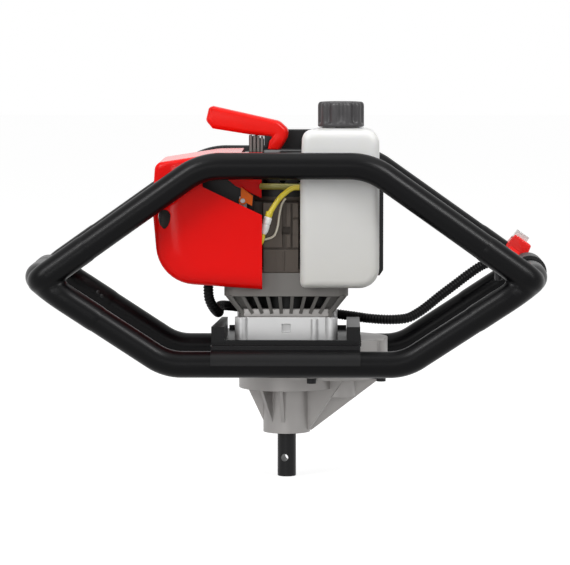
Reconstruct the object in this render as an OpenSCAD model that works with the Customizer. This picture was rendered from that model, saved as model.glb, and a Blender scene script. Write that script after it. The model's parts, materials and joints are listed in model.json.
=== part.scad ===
// Power head of a hand-held earth auger: a two-stroke engine on a bent-tube frame turns
// the output shaft through a centrifugal clutch and a two-stage reduction gearbox.
// Millimetres, +Z up. The origin is the centre of the output shaft's lower end face,
// and -Y is the side where the fuel tank stands.

/* [Frame] */
// Outside diameter of the frame tubes
tube_d = 28; // [25:0.5:32]
// Wall thickness of the frame tubes
tube_wall = 2.5; // [1.5:0.5:4]
// Distance of the front and rear loops from the shaft axis
loop_y = 95; // [94:1:115]
// Distance of the hand bars from the shaft axis
hand_x = 262; // [255:1:290]
// Height of the hand bars
hand_z = 220; // [212:1:230]
// Height of the lower tubes
lower_z = 130.5; // [126:0.5:138]
// Half length of the lower tubes' level part, to the bend's corner
lower_x = 125; // [118:1:135]
// Height of the upper arches
upper_z = 339; // [330:1:360]
// Half length of the upper arches' level part, to the bend's corner
upper_x = 88; // [80:1:100]
// Bend radius of the lower tubes
lower_bend = 55; // [40:1:70]
// Bend radius of the upper arches
upper_bend = 65; // [45:1:80]
// Bend radius at the hand bars' corners
corner_bend = 40; // [32:1:48]

/* [Cradle] */
// Half width of the cradle
cradle_x = 78.5; // [76:0.5:90]
// Thickness of the cradle's plate
plate_t = 5.5; // [4:0.5:8]
// Height of the cradle's side walls above the tubes
cradle_wall_h = 24.5; // [14:0.5:30]
// Thickness of the cradle's side walls
cradle_wall_t = 14; // [6:0.5:16]
// Thickness of the saddles on the lower tubes
saddle_t = 1.5; // [1:0.25:3]

/* [Output shaft] */
// Diameter of the output shaft
shaft_d = 20; // [18:0.5:22]
// Length of shaft that stands out of the gearbox
shaft_out = 48; // [42:1:55]
// Diameter of the cross hole for the drill's pin
pin_hole_d = 8; // [5:0.5:10]
// Height of the cross hole above the shaft's end
pin_hole_z = 20; // [14:1:30]

/* [Gearbox] */
// Teeth on each pinion
pinion_teeth = 12; // [11:1:14]
// Teeth on the first gear
first_teeth = 78; // [72:1:80]
// Teeth on the second gear
second_teeth = 48; // [44:1:52]
// Tooth module of the first stage
first_module = 1.2; // [1.1:0.05:1.25]
// Face width of the first gear
first_face = 9; // [6:0.5:10]
// Face width of the second gear
second_face = 14; // [10:0.5:15]
// Wall of the gear case
case_wall = 4.5; // [3:0.5:6]
// Height of the upper half of the gear case
upper_case_h = 28; // [27:0.5:32]
// Outside radius of the barrel round the output shaft
barrel_r = 25.4; // [24.5:0.1:28]
// Height of the lug beyond the cradle
lug_h = 6; // [4:0.5:12]

/* [Clutch] */
// Inside radius of the clutch drum
drum_r = 39; // [36:0.5:40]
// Height of the bearing block under the clutch
block_h = 26; // [24:0.5:32]
// Half width of the bearing block
block_x = 54.7; // [52:0.1:58]
// Half depth of the bearing block
block_y = 51; // [49:0.5:56]
// Height of the fan housing
fan_h = 48; // [46:0.5:54]
// Half width of the fan housing's band
band_x = 66; // [64:0.5:68]
// Half depth of the fan housing's band
band_y = 57; // [56:0.5:58]
// Number of air ribs on the front of the fan housing
rib_count = 10; // [6:1:14]

/* [Engine] */
// Bore of the cylinder
bore_d = 44; // [40:0.5:46]
// Stroke of the piston
stroke = 34; // [30:0.5:36]
// Distance from crankshaft to cylinder head
cylinder_len = 104; // [102:0.5:106]
// Outside diameter of the cooling fins
fin_d = 70; // [62:1:71]
// Number of cooling fins
fin_count = 8; // [5:1:9]
// Height of the crankcase
case_h = 80; // [80:0.5:84]
// Radius of the crankcase
case_r = 42; // [40:0.5:43]
// Wall of the moulded shroud
shroud_wall = 2.5; // [1.5:0.5:3]

/* [Starter] */
// Radius of the starter housing
starter_r = 45; // [44:0.5:46]
// Height of the starter housing
starter_h = 46; // [46:0.5:50]
// Radius of the rope pulley
pulley_r = 26; // [22:0.5:28]
// Diameter of the starter rope
rope_d = 3.5; // [2.5:0.5:4]
// Tilt of the pull grip
grip_tilt = 13.5; // [8:0.5:18]

/* [Fuel tank] */
// Width of the tank
tank_w = 83.5; // [78:0.5:86]
// Height of the tank up to its shoulder
tank_h = 167; // [157:1:171]
// Wall of the tank
tank_wall = 2; // [1.5:0.5:3]
// Radius of the filler cap
cap_r = 24.5; // [23:0.5:27]
// Height of the filler cap
cap_h = 26.5; // [22:0.5:29]

/* [Controls] */
// Outside diameter of the control conduit
conduit_d = 11; // [9:0.5:12]
// Diameter of the throttle trigger's pivot
trigger_pin_d = 5; // [4:0.5:6]
// Travel of the stop button
button_travel = 3; // [1:0.5:4]

/* [Fits] */
// Radial clearance of a bearing seat or a running pin
run_fit = 0.04; // [0.01:0.01:0.1]
// Clearance between pieces that pass each other
clear = 0.3; // [0.2:0.05:0.5]

/* [Hidden] */
$fn = 64;

paint_black = [0.06, 0.06, 0.065];
cast_silver = [0.66, 0.66, 0.65];
cast_grey = [0.36, 0.35, 0.34];
steel = [0.5, 0.5, 0.52];
moulded_red = [0.82, 0.05, 0.05];

// Heights of the stack, from the lower tubes up
base_z = lower_z + tube_d / 2;
split_z = base_z - upper_case_h;
block_z = base_z + plate_t;
fan_z = block_z + block_h;
case_z = fan_z + fan_h;
crank_z = case_z + case_h / 2;
starter_z = case_z + case_h;
top_z = starter_z + starter_h;

// Gear train: two stages with one centre distance, so the input and output share an axis
counter_x = first_module * (pinion_teeth + first_teeth) / 2;
second_module = 2 * counter_x / (pinion_teeth + second_teeth);
pressure = 25;
addendum = 0.8;
dedendum = 1.1;
backlash = 0.16;
first_r = first_module * (first_teeth / 2 + addendum);
second_r = second_module * (second_teeth / 2 + addendum);
side_gap = 2.4;
chamber_r1 = second_r + side_gap;
chamber_r2 = first_r + side_gap;
case_r1 = chamber_r1 + case_wall;
case_r2 = chamber_r2 + case_wall;
gasket_t = 0.8;
second_z = split_z - second_face;
cup_z = second_z - 6;
first_z = split_z + 6;
roof_z = first_z + first_face + 1.5;

function unit(v) = v / norm(v);
function side_of(d) = unit(cross(abs(d.z) < 0.9 ? [0, 0, 1] : [1, 0, 0], d));
function turn_of(a, b) = acos(max(-1, min(1, a * b)));

// Puts a shape's own axes on the directions x, y and z at point p
module at_axes(p, x, y, z) {
    multmatrix([[x.x, y.x, z.x, p.x], [x.y, y.y, z.y, p.y], [x.z, y.z, z.z, p.z], [0, 0, 0, 1]])
        children();
}

// Puts a shape's +Z along direction d at point p
module along(p, d) {
    x = side_of(d);
    at_axes(p, x, cross(d, x), d) children();
}

// Extrudes a drawing in X and Z between two depths
module along_y(y0, y1) {
    translate([0, y1, 0]) rotate([90, 0, 0]) linear_extrude(y1 - y0) children();
}

module rod_x(x0, x1, y, z, r) {
    translate([x0, y, z]) rotate([0, 90, 0]) cylinder(r = r, h = x1 - x0);
}

module rod_y(y0, y1, x, z, r) {
    translate([x, y1, z]) rotate([90, 0, 0]) cylinder(r = r, h = y1 - y0);
}

module rod_z(z0, z1, x, y, r) {
    translate([x, y, z0]) cylinder(r = r, h = z1 - z0);
}

module block(lo, hi) {
    translate(lo) cube(hi - lo);
}

module ring_z(z0, z1, r_out, r_in) {
    translate([0, 0, z0]) linear_extrude(z1 - z0) difference() {
        circle(r = r_out);
        circle(r = r_in);
    }
}

module ring_section(d_out, d_in) {
    difference() {
        circle(d = d_out);
        if (d_in > 0) circle(d = d_in);
    }
}

// A tube along straight stretches that end inside true round bends a hair fuller than they are
bend_swell = 0.1;
bend_lap = 0.8;
module pipe_run(points, bend, d_out, d_in = 0) {
    last = len(points) - 1;
    dirs = [for (i = [0 : last - 1]) unit(points[i + 1] - points[i])];
    turns = [for (i = [1 : 1 : last - 1]) turn_of(dirs[i - 1], dirs[i])];
    trims = [for (i = [0 : last]) i == 0 || i == last ? 0 : bend * tan(turns[i - 1] / 2)];
    laps = [for (i = [0 : last]) i == 0 || i == last ? 0 : bend_lap];
    for (i = [0 : last - 1])
        along(points[i] + dirs[i] * (trims[i] - laps[i]), dirs[i])
            linear_extrude(norm(points[i + 1] - points[i]) - trims[i] - trims[i + 1] + laps[i] + laps[i + 1])
                ring_section(d_out, d_in);
    for (i = [1 : 1 : last - 1]) {
        start = points[i] - dirs[i - 1] * trims[i];
        inward = unit(dirs[i] - dirs[i - 1] * (dirs[i] * dirs[i - 1]));
        at_axes(start + inward * bend, -inward, dirs[i - 1], cross(-inward, dirs[i - 1]))
            rotate_extrude(angle = turns[i - 1]) translate([bend, 0])
                ring_section(d_out + bend_swell, d_in > 0 ? d_in - bend_swell : 0);
    }
}

// A convex outline whose corners are true arcs
module round_outline(points, radii) {
    n = len(points);
    corners = [for (i = [0 : n - 1]) let (
        p = points[i],
        a = unit(points[(i + n - 1) % n] - p),
        b = unit(points[(i + 1) % n] - p),
        half = turn_of(a, b) / 2
    ) [p + a * radii[i] / tan(half), p + b * radii[i] / tan(half), p + unit(a + b) * radii[i] / sin(half)]];
    polygon([for (c = corners) each [c[0], c[1]]]);
    for (i = [0 : n - 1])
        if (radii[i] > 0) translate(corners[i][2]) circle(r = radii[i]);
}

module round_rect(x0, y0, x1, y1, r) {
    round_outline([[x0, y0], [x1, y0], [x1, y1], [x0, y1]], [r, r, r, r]);
}

// Outline of the gear case between two heights
module case_outline(z0, z1) {
    translate([0, 0, z0]) linear_extrude(z1 - z0) two_circle_outline(case_r1, counter_x, case_r2);
}

// Two circles on the X axis joined by straight sides just inside their common tangents
module two_circle_outline(r1, x2, r2) {
    b = acos((r1 - r2) / x2);
    n = [cos(b), sin(b)];
    m = [n.x, -n.y];
    in = 0.5;
    circle(r = r1);
    translate([x2, 0]) circle(r = r2);
    polygon([(r1 - in) * m, [x2, 0] + (r2 - in) * m, [x2, 0] + (r2 - in) * n, (r1 - in) * n]);
}

function polar(r, a) = [r * cos(a), r * sin(a)];
function involute(a) = tan(a) * 180 / PI - a;
function half_tooth(teeth, module_mm, r) =
    90 / teeth - backlash / (teeth * module_mm) * 180 / PI + involute(pressure)
    - involute(acos(min(1, teeth * module_mm / 2 * cos(pressure) / r)));

// Involute spur gear outline, with one tooth at angle turn
function gear_points(teeth, module_mm, turn) = let (
    r_pitch = teeth * module_mm / 2,
    r_root = r_pitch - dedendum * module_mm,
    r_base = max(r_root, r_pitch * cos(pressure)),
    r_tip = r_pitch + addendum * module_mm,
    flank = [for (k = [0 : 3]) r_base + (r_tip - r_base) * k / 3],
    rise = concat(r_base > r_root + 0.01 ? [[r_root, half_tooth(teeth, module_mm, r_base)]] : [],
        [for (r = flank) [r, half_tooth(teeth, module_mm, r)]]),
    n = len(rise)
) [for (t = [0 : teeth - 1]) let (mid = turn + 360 * t / teeth) each concat(
    [for (p = rise) polar(p[0], mid - p[1])],
    [for (k = [n - 1 : -1 : 0]) polar(rise[k][0], mid + rise[k][1])])];

module gear(z0, face, teeth, module_mm, turn) {
    translate([0, 0, z0]) linear_extrude(face) polygon(gear_points(teeth, module_mm, turn));
}

// Ball bearing shown as one ring with its two races standing proud of the shield
module bearing(z0, width, r_bore, r_out) {
    step = (r_out - r_bore) * 0.3;
    recess = 0.6;
    rotate_extrude() polygon([
        [r_bore, z0], [r_bore + step, z0], [r_bore + step, z0 + recess],
        [r_out - step, z0 + recess], [r_out - step, z0], [r_out, z0],
        [r_out, z0 + width], [r_out - step, z0 + width], [r_out - step, z0 + width - recess],
        [r_bore + step, z0 + width - recess], [r_bore + step, z0 + width], [r_bore, z0 + width]
    ]);
}

// Smooth curve through a list of points, for flexible lines
function curve_at(p, q, r, s, t) = 0.5 * (2 * q + (r - p) * t
    + (2 * p - 5 * q + 4 * r - s) * t * t + (3 * q - p - 3 * r + s) * t * t * t);
function smooth_line(points, steps) = let (last = len(points) - 1) [
    for (i = [0 : last - 1], k = [0 : steps - 1]) curve_at(points[max(0, i - 1)], points[i],
        points[i + 1], points[min(last, i + 2)], k / steps),
    points[last]
];

module flexible_line(points, d, sides, steps) {
    line = smooth_line(points, steps);
    last = len(line) - 1;
    rings = [for (i = [0 : last]) let (
        d_here = unit(line[min(last, i + 1)] - line[max(0, i - 1)]),
        u = unit(cross(d_here, [0.31, 0.93, 0.17])),
        v = cross(d_here, u)
    ) for (k = [0 : sides - 1]) line[i] + d / 2 * (u * cos(360 * k / sides) + v * sin(360 * k / sides))];
    walls = [for (i = [0 : last - 1], k = [0 : sides - 1]) let (j = (k + 1) % sides)
        [i * sides + k, (i + 1) * sides + k, (i + 1) * sides + j, i * sides + j]];
    polyhedron(rings, concat(walls, [[for (k = [0 : sides - 1]) k]],
        [[for (k = [sides - 1 : -1 : 0]) last * sides + k]]));
}

// Frame

function corner(sx, sy) = [sx * hand_x, sy * loop_y, hand_z];
function lower_knee(sx, sy) = [sx * lower_x, sy * loop_y, lower_z];
function butt(sx, sy) = corner(sx, sy)
    + unit(lower_knee(sx, sy) - corner(sx, sy)) * (corner_bend + 10);
function upper_knee(sx, sy) = [sx * upper_x, sy * loop_y, upper_z];
function arch_end(sx, sy) = corner(sx, sy) + [-sx * 12, 0, 4];
weld_gap = 0.1;

module lower_tube(sy) {
    color(paint_black) pipe_run(
        [butt(-1, sy), lower_knee(-1, sy), lower_knee(1, sy), butt(1, sy)],
        lower_bend, tube_d, tube_d - 2 * tube_wall);
}

module handle_tube(sx) {
    color(paint_black) pipe_run(
        [butt(sx, -1), corner(sx, -1), corner(sx, 1), butt(sx, 1)],
        corner_bend, tube_d, tube_d - 2 * tube_wall);
}

// The room that a hand bar's corner takes up where another piece is fitted to it
module corner_room(sx, sy, room) {
    pipe_run([butt(sx, sy), corner(sx, sy), [sx * hand_x, 0, hand_z]], corner_bend, tube_d + 2 * room);
}

module upper_tube(sy) {
    color(paint_black) difference() {
        pipe_run([arch_end(-1, sy), upper_knee(-1, sy), upper_knee(1, sy), arch_end(1, sy)],
            upper_bend, tube_d, tube_d - 2 * tube_wall);
        for (sx = [-1, 1]) corner_room(sx, sy, weld_gap);
    }
}

// Cradle that joins the lower tubes and carries the gearbox and the engine

block_bolt_x = block_x - 7;
block_bolt_y = block_y - 7;
block_bolt_r = 3;
block_bolts = [for (sx = [-1, 1], sy = [-1, 1]) [sx * block_bolt_x, sy * block_bolt_y]];
bolt_hole_r = block_bolt_r + 0.3;
drum_shaft_r = 7.5;

module cradle() {
    lip_h = 10.5;
    lip_t = 3;
    lip_y = loop_y - tube_d / 2;
    color(paint_black) difference() {
        union() {
            block([-cradle_x, -loop_y, base_z], [cradle_x, loop_y, base_z + plate_t]);
            for (sy = [-1, 1]) {
                intersection() {
                    rod_x(-cradle_x, cradle_x, sy * loop_y, lower_z, tube_d / 2 + saddle_t);
                    block([-2 * cradle_x, -2 * loop_y, lower_z], [2 * cradle_x, 2 * loop_y, block_z]);
                }
                block([-cradle_x + cradle_wall_t, sy * lip_y - lip_t / 2, base_z],
                    [cradle_x - cradle_wall_t, sy * lip_y + lip_t / 2, base_z + lip_h]);
            }
            for (sx = [-1, 1])
                translate([0, 0, base_z]) linear_extrude(cradle_wall_h) polygon([
                    [sx * cradle_x, -lip_y - lip_t / 2],
                    [sx * (cradle_x - cradle_wall_t), -lip_y - lip_t / 2],
                    [sx * (cradle_x - cradle_wall_t), 30],
                    [sx * (cradle_x - (sx < 0 ? cradle_wall_t * 0.55 : 0)), 30]]);
        }
        for (sy = [-1, 1])
            rod_x(-cradle_x - 1, cradle_x + 1, sy * loop_y, lower_z, tube_d / 2 + weld_gap);
        rod_z(base_z - 1, block_z + 1, 0, 0, drum_shaft_r + 5);
        for (p = block_bolts) rod_z(base_z - 1, block_z + 1, p.x, p.y, bolt_hole_r);
    }
}

// Bolts that clamp the bearing block and the cradle, on the gear case or on nuts
module cradle_bolts() {
    head_r = 5;
    head_h = 5;
    nut_h = 6;
    bite = 9;
    color(paint_black) for (p = block_bolts) {
        head_z = fan_z - 1 - head_h;
        rod_z(base_z - bite, head_z, p.x, p.y, block_bolt_r);
        difference() {
            rod_z(head_z, head_z + head_h, p.x, p.y, head_r);
            translate([p.x, p.y, head_z + 2]) cylinder(r = 2.6, h = head_h, $fn = 6);
        }
        if (p.x < 0) difference() {
            translate([p.x, p.y, base_z - nut_h]) cylinder(r = 5.8, h = nut_h, $fn = 6);
            rod_z(base_z - nut_h - 1, base_z + 1, p.x, p.y, block_bolt_r);
        }
    }
}

// Gearbox

flange_t = 8;
flange_z = split_z - flange_t;
boss_r = 7;
case_bolt_r = 3;
case_bolt_out = 5.3;
bolt_seat_z = split_z - 4;
case_bolts = concat(
    [polar(case_r1 + case_bolt_out, 140)],
    [for (sy = [-1, 1]) [counter_x / 2, sy * ((case_r1 + case_r2) / 2 + case_bolt_out)]],
    [for (a = [-38, 38, 100]) [counter_x, 0] + polar(case_r2 + case_bolt_out, a)]);
output_journal_r = shaft_d / 2 + 2;
pin_hole_turn = 14;
output_bearing_r = 21;
output_bearing_w = 12;
seal_h = 7;
seal_z = shaft_out + 1;
low_bearing_z = seal_z + seal_h + 2;
high_bearing_z = cup_z + 3 - output_bearing_w;
counter_low_r = 16;
counter_low_w = 10;
counter_low_z = second_z - 2 - counter_low_w;
counter_high_r = 12;
counter_high_w = 6;
journal_r = 6;

module web(angle, points, thick) {
    rotate([0, 0, angle]) along_y(-thick / 2, thick / 2) polygon(points);
}

module gearbox_lower_housing() {
    inside = barrel_r - 3;
    rib_t = 4;
    counter_boss_r = counter_low_r + 4;
    color(cast_silver) difference() {
        union() {
            rod_z(shaft_out, second_z, 0, 0, barrel_r);
            rod_z(cup_z, split_z, 0, 0, case_r1);
            case_outline(flange_z, split_z);
            rod_z(counter_low_z - 4, split_z, counter_x, 0, counter_boss_r);
            for (p = case_bolts) rod_z(bolt_seat_z, split_z, p.x, p.y, boss_r);
            for (a = [80, 130, 180, 230, 262])
                web(a, [[inside, shaft_out + 12], [barrel_r, shaft_out + 12], [case_r1 - 8, cup_z + 2],
                    [inside, cup_z + 2]], rib_t);
            web(-22, [[inside, shaft_out + 3], [barrel_r + 1, shaft_out + 3],
                [counter_x + 14, flange_z + 1], [inside, flange_z + 1]], rib_t);
            web(8, [[inside, shaft_out + 1], [barrel_r + 1.5, shaft_out + 1],
                [counter_x + case_r2 - 10.5, flange_z - 7], [counter_x + case_r2 - 10.5, flange_z + 1],
                [inside, flange_z + 1]], rib_t);
        }
        rod_z(shaft_out - 1, low_bearing_z + output_bearing_w, 0, 0, output_bearing_r + run_fit);
        rod_z(shaft_out, split_z, 0, 0, output_bearing_r - 4);
        rod_z(high_bearing_z, split_z, 0, 0, output_bearing_r + run_fit);
        rod_z(second_z - 2, split_z + 1, 0, 0, chamber_r1);
        rod_z(counter_low_z, split_z + 1, counter_x, 0, counter_low_r + run_fit);
        for (p = case_bolts) rod_z(flange_z - 1, split_z + 1, p.x, p.y, case_bolt_r + 0.3);
    }
}

module gearbox_gasket() {
    color([0.2, 0.22, 0.2]) translate([0, 0, split_z]) linear_extrude(gasket_t) difference() {
        two_circle_outline(case_r1, counter_x, case_r2);
        circle(r = chamber_r1);
        translate([counter_x, 0]) circle(r = chamber_r2);
    }
}

module gearbox_upper_housing() {
    low = split_z + gasket_t;
    boss_h = 14;
    lug_x = cradle_x + 1;
    lug_y = case_r2;
    color(cast_silver) difference() {
        union() {
            case_outline(low, base_z);
            for (p = case_bolts) rod_z(low, low + boss_h, p.x, p.y, boss_r);
            intersection() {
                case_outline(base_z - 2, base_z + lug_h);
                block([lug_x, -lug_y, base_z - 2], [lug_x + case_r2, lug_y, base_z + lug_h]);
            }
            rod_z(low, base_z + lug_h, counter_x + case_r2 - 10, -26, boss_r);
        }
        translate([0, 0, low - 1]) linear_extrude(roof_z - low + 1) {
            translate([counter_x, 0]) circle(r = chamber_r2);
            circle(r = 13);
        }
        rod_z(low - 1, base_z + 1, 0, 0, drum_shaft_r + 2);
        rod_z(low - 1, roof_z + counter_high_w + 1, counter_x, 0, counter_high_r + run_fit);
        for (p = case_bolts) rod_z(low - 1, low + boss_h - 2, p.x, p.y, case_bolt_r + run_fit);
        for (p = block_bolts) if (p.x > 0) rod_z(base_z - 10, base_z + 1, p.x, p.y, block_bolt_r + run_fit);
    }
}

module gearbox_bolts() {
    head_h = 6;
    color(paint_black) for (p = case_bolts) {
        rod_z(bolt_seat_z, split_z + gasket_t + 11, p.x, p.y, case_bolt_r);
        difference() {
            rod_z(bolt_seat_z - head_h, bolt_seat_z, p.x, p.y, 5);
            translate([p.x, p.y, bolt_seat_z - head_h - 1]) cylinder(r = 2.9, h = 4, $fn = 6);
        }
    }
}

module output_shaft() {
    chamfer = 0.5;
    r = shaft_d / 2;
    color([0.1, 0.1, 0.1]) difference() {
        rotate_extrude() polygon([[0, -chamfer], [r - chamfer, -chamfer], [r, 0], [r, shaft_out],
            [output_journal_r, shaft_out], [output_journal_r, split_z + 1], [0, split_z + 1]]);
        rotate([0, 0, -pin_hole_turn]) rod_y(-shaft_d, shaft_d, 0, pin_hole_z, pin_hole_d / 2);
    }
}

module output_gear() {
    color(steel) difference() {
        gear(second_z, second_face, second_teeth, second_module, 180 / second_teeth);
        rod_z(second_z - 1, split_z + 1, 0, 0, output_journal_r + run_fit);
    }
}

module output_bearings() {
    color(steel) for (z = [low_bearing_z, high_bearing_z])
        bearing(z, output_bearing_w, output_journal_r + run_fit, output_bearing_r);
}

module oil_seal() {
    color([0.12, 0.1, 0.1]) ring_z(seal_z, seal_z + seal_h, output_bearing_r, output_journal_r + run_fit);
}

module countershaft() {
    seat_r = 9;
    color(steel) translate([counter_x, 0, 0]) {
        rod_z(counter_low_z + 1, second_z - 1.5, 0, 0, journal_r);
        gear(second_z - 1.5, second_face + 2.5, pinion_teeth, second_module, 180);
        rod_z(split_z + 1, first_z, 0, 0, seat_r + 1.5);
        rod_z(first_z, first_z + first_face, 0, 0, seat_r);
        rod_z(first_z + first_face, roof_z + counter_high_w, 0, 0, journal_r);
    }
}

module countershaft_gear() {
    web_r = first_r - 8;
    hub_r = 15;
    color(steel) translate([counter_x, 0, 0]) difference() {
        gear(first_z, first_face, first_teeth, first_module, 180 + 180 / first_teeth);
        rod_z(first_z - 1, first_z + first_face + 1, 0, 0, 9 + run_fit);
        for (z = [first_z - 1, first_z + first_face - 1.5]) ring_z(z, z + 2.5, web_r, hub_r);
    }
}

module countershaft_bearings() {
    color(steel) translate([counter_x, 0, 0]) {
        bearing(counter_low_z, counter_low_w, journal_r + run_fit, counter_low_r);
        bearing(roof_z, counter_high_w, journal_r + run_fit, counter_high_r);
    }
}

// Clutch

drum_bearing_r = 16;
drum_bearing_w = 9;
drum_bearing_z = [block_z + 2, fan_z - 2 - drum_bearing_w];
drum_wall = 3;
drum_floor_z = fan_z + 3;
drum_top_z = drum_floor_z + drum_wall + 20;
fly_z = drum_top_z + 5;

module clutch_drum() {
    pinion_face = first_face + 2;
    color(steel) {
        gear(first_z - 1, pinion_face, pinion_teeth, first_module, 0);
        rod_z(first_z - 1 + pinion_face, drum_floor_z, 0, 0, drum_shaft_r);
        rod_z(drum_floor_z, drum_floor_z + drum_wall, 0, 0, drum_r + drum_wall);
        ring_z(drum_floor_z + drum_wall, drum_top_z, drum_r + drum_wall, drum_r);
    }
}

module drum_bearings() {
    color(steel) for (z = drum_bearing_z) bearing(z, drum_bearing_w, drum_shaft_r + run_fit, drum_bearing_r);
}

module bearing_block() {
    column_r = 7;
    rib_x = block_x * 0.55;
    port = 9;
    port_z = block_z + block_h * 0.36;
    color(cast_silver) difference() {
        union() {
            block([-block_x + 3, -block_y + 4, block_z], [block_x - 3, block_y - 4, fan_z]);
            for (p = block_bolts) rod_z(block_z, fan_z, p.x, p.y, column_r);
            for (sy = [-1, 1]) rod_z(block_z, fan_z - 2, rib_x, sy * (block_y - 5), 4);
        }
        rod_z(block_z + 2, fan_z + 1, 0, 0, drum_bearing_r + run_fit);
        rod_z(block_z - 1, fan_z, 0, 0, drum_shaft_r + 3);
        for (p = block_bolts) {
            rod_z(block_z - 1, fan_z, p.x, p.y, bolt_hole_r);
            rod_z(fan_z - 6, fan_z + 1, p.x, p.y, 5.3);
        }
        block([-port / 2, -block_y, port_z], [port / 2, -block_y + 9, port_z + port]);
    }
}

// Flared rib from a point low on the fan housing to a point on its band
rib_t = 3.6;
rib_deep = 14;
module flared_rib(low, high, inward) {
    d = unit(high - low);
    across = unit(cross(inward, d));
    at_axes(low - 4 * d, across, cross(d, across), d)
        translate([-rib_t / 2, 0, 0]) cube([rib_t, rib_deep, norm(high - low) + 8]);
}

ring_half_x = block_x - 6;
ring_half_y = block_y - 5;
band_z = fan_z + 23;
band_t = 4;

module fan_housing() {
    ring_h = 9;
    tuck = 0.4;
    side_ribs = rib_count - 3;
    window_y = 24;
    color(cast_grey) difference() {
        union() {
            translate([0, 0, fan_z]) linear_extrude(ring_h)
                round_rect(-ring_half_x, -ring_half_y, ring_half_x, ring_half_y, 4);
            translate([0, 0, band_z]) linear_extrude(case_z - band_z)
                round_rect(-band_x, -band_y, band_x, band_y, 14);
            intersection() {
                union() {
                    for (sy = [-1, 1], i = [0 : rib_count - 1]) {
                        f = 2 * i / (rib_count - 1) - 1;
                        flared_rib([f * (ring_half_x - 4), sy * (ring_half_y - tuck), fan_z + 2],
                            [f * (band_x - 6), sy * (band_y - tuck), band_z + 1], [0, -sy, 0]);
                    }
                    for (sx = [-1, 1], i = [0 : side_ribs - 1]) {
                        f = 2 * i / (side_ribs - 1) - 1;
                        flared_rib([sx * (ring_half_x - tuck), f * (ring_half_y - 8), fan_z + 2],
                            [sx * (band_x - tuck), f * (band_y - 14), band_z + 1], [-sx, 0, 0]);
                    }
                }
                block([-band_x, -band_y, fan_z + 2], [band_x, band_y, band_z + 1]);
            }
        }
        rod_z(fan_z - 1, drum_top_z, 0, 0, drum_r + drum_wall + 1.5);
        translate([0, 0, band_z - 1]) linear_extrude(case_z - band_z + 2)
            round_rect(-band_x + band_t, -band_y + band_t, band_x - band_t, band_y - band_t, 10);
        block([-band_x - 1, -window_y, fly_z + 1], [-band_x + 8, window_y, case_z - 1]);
    }
}

fly_r = 46;
fly_h = case_z - fly_z - 4;
crank_shaft_r = 7.5;
clutch_bolt_at = 28;
clutch_low_z = drum_floor_z + drum_wall + 3;
shoe_h = 13;

module flywheel() {
    disc_t = 4;
    blades = 16;
    color(cast_silver) difference() {
        union() {
            rod_z(fly_z, fly_z + fly_h, 0, 0, 14);
            rod_z(fly_z, fly_z + disc_t, 0, 0, fly_r);
            ring_z(fly_z, fly_z + disc_t + 4, fly_r, fly_r - 5);
            for (i = [0 : blades - 1]) rotate([0, 0, i * 360 / blades])
                block([13, -1, fly_z + 1], [fly_r - 2, 1, fly_z + fly_h - 1]);
        }
        rod_z(fly_z - 1, fly_z + fly_h + 1, 0, 0, crank_shaft_r + run_fit);
        for (a = [0, 180]) rotate([0, 0, a])
            rod_z(fly_z - 1, fly_z + disc_t + 1, clutch_bolt_at, 0, 4 + run_fit);
    }
}

module clutch_shoes() {
    gap_angle = 10;
    color([0.3, 0.27, 0.24]) for (a = [0, 180]) rotate([0, 0, a]) difference() {
        translate([0, 0, clutch_low_z + 3]) rotate([0, 0, -90 + gap_angle])
            rotate_extrude(angle = 180 - 2 * gap_angle)
                translate([18, 0]) square([drum_r - 1.5 - 18, shoe_h]);
        rod_z(clutch_low_z, fly_z, clutch_bolt_at, 0, 4 + run_fit);
    }
}

module clutch_bolts() {
    color(steel) for (sx = [-1, 1]) {
        rod_z(clutch_low_z, clutch_low_z + 3, sx * clutch_bolt_at, 0, 7);
        rod_z(clutch_low_z + 3, fly_z + 4, sx * clutch_bolt_at, 0, 4);
        difference() {
            rod_z(clutch_low_z + 3 + shoe_h, fly_z, sx * clutch_bolt_at, 0, 6);
            rod_z(clutch_low_z, fly_z + 1, sx * clutch_bolt_at, 0, 3.9);
        }
    }
}

// Engine

crank_disc_r = 30;
crank_disc_t = 10;
rod_gap = 12;
throw = stroke / 2;
rod_len = cylinder_len - throw - 25.5;
crank_bearing_r = 17.5;
crank_bearing_w = 11;
crank_bearing_z = [crank_z - 32, crank_z + 21];
port_x = -62;
intake_x = -50;
port_y = 39;
flange_x = -36;
panel_x = [-24, 13];
panel_y = band_y + 1;
bracket_pad_x = case_r + 2;

// Raised plates on the crankcase's front: left, low, right and high edges of each
front_plates = [
    [panel_x[0], case_z + 1, panel_x[1], crank_z - 15],
    [panel_x[0], crank_z - 13, -4, starter_z - 6],
    [0.5, crank_z - 13, 5, starter_z - 6],
    [7, crank_z - 13, panel_x[1], crank_z + 17],
    [7, crank_z + 19, panel_x[1], starter_z - 6]];

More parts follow.
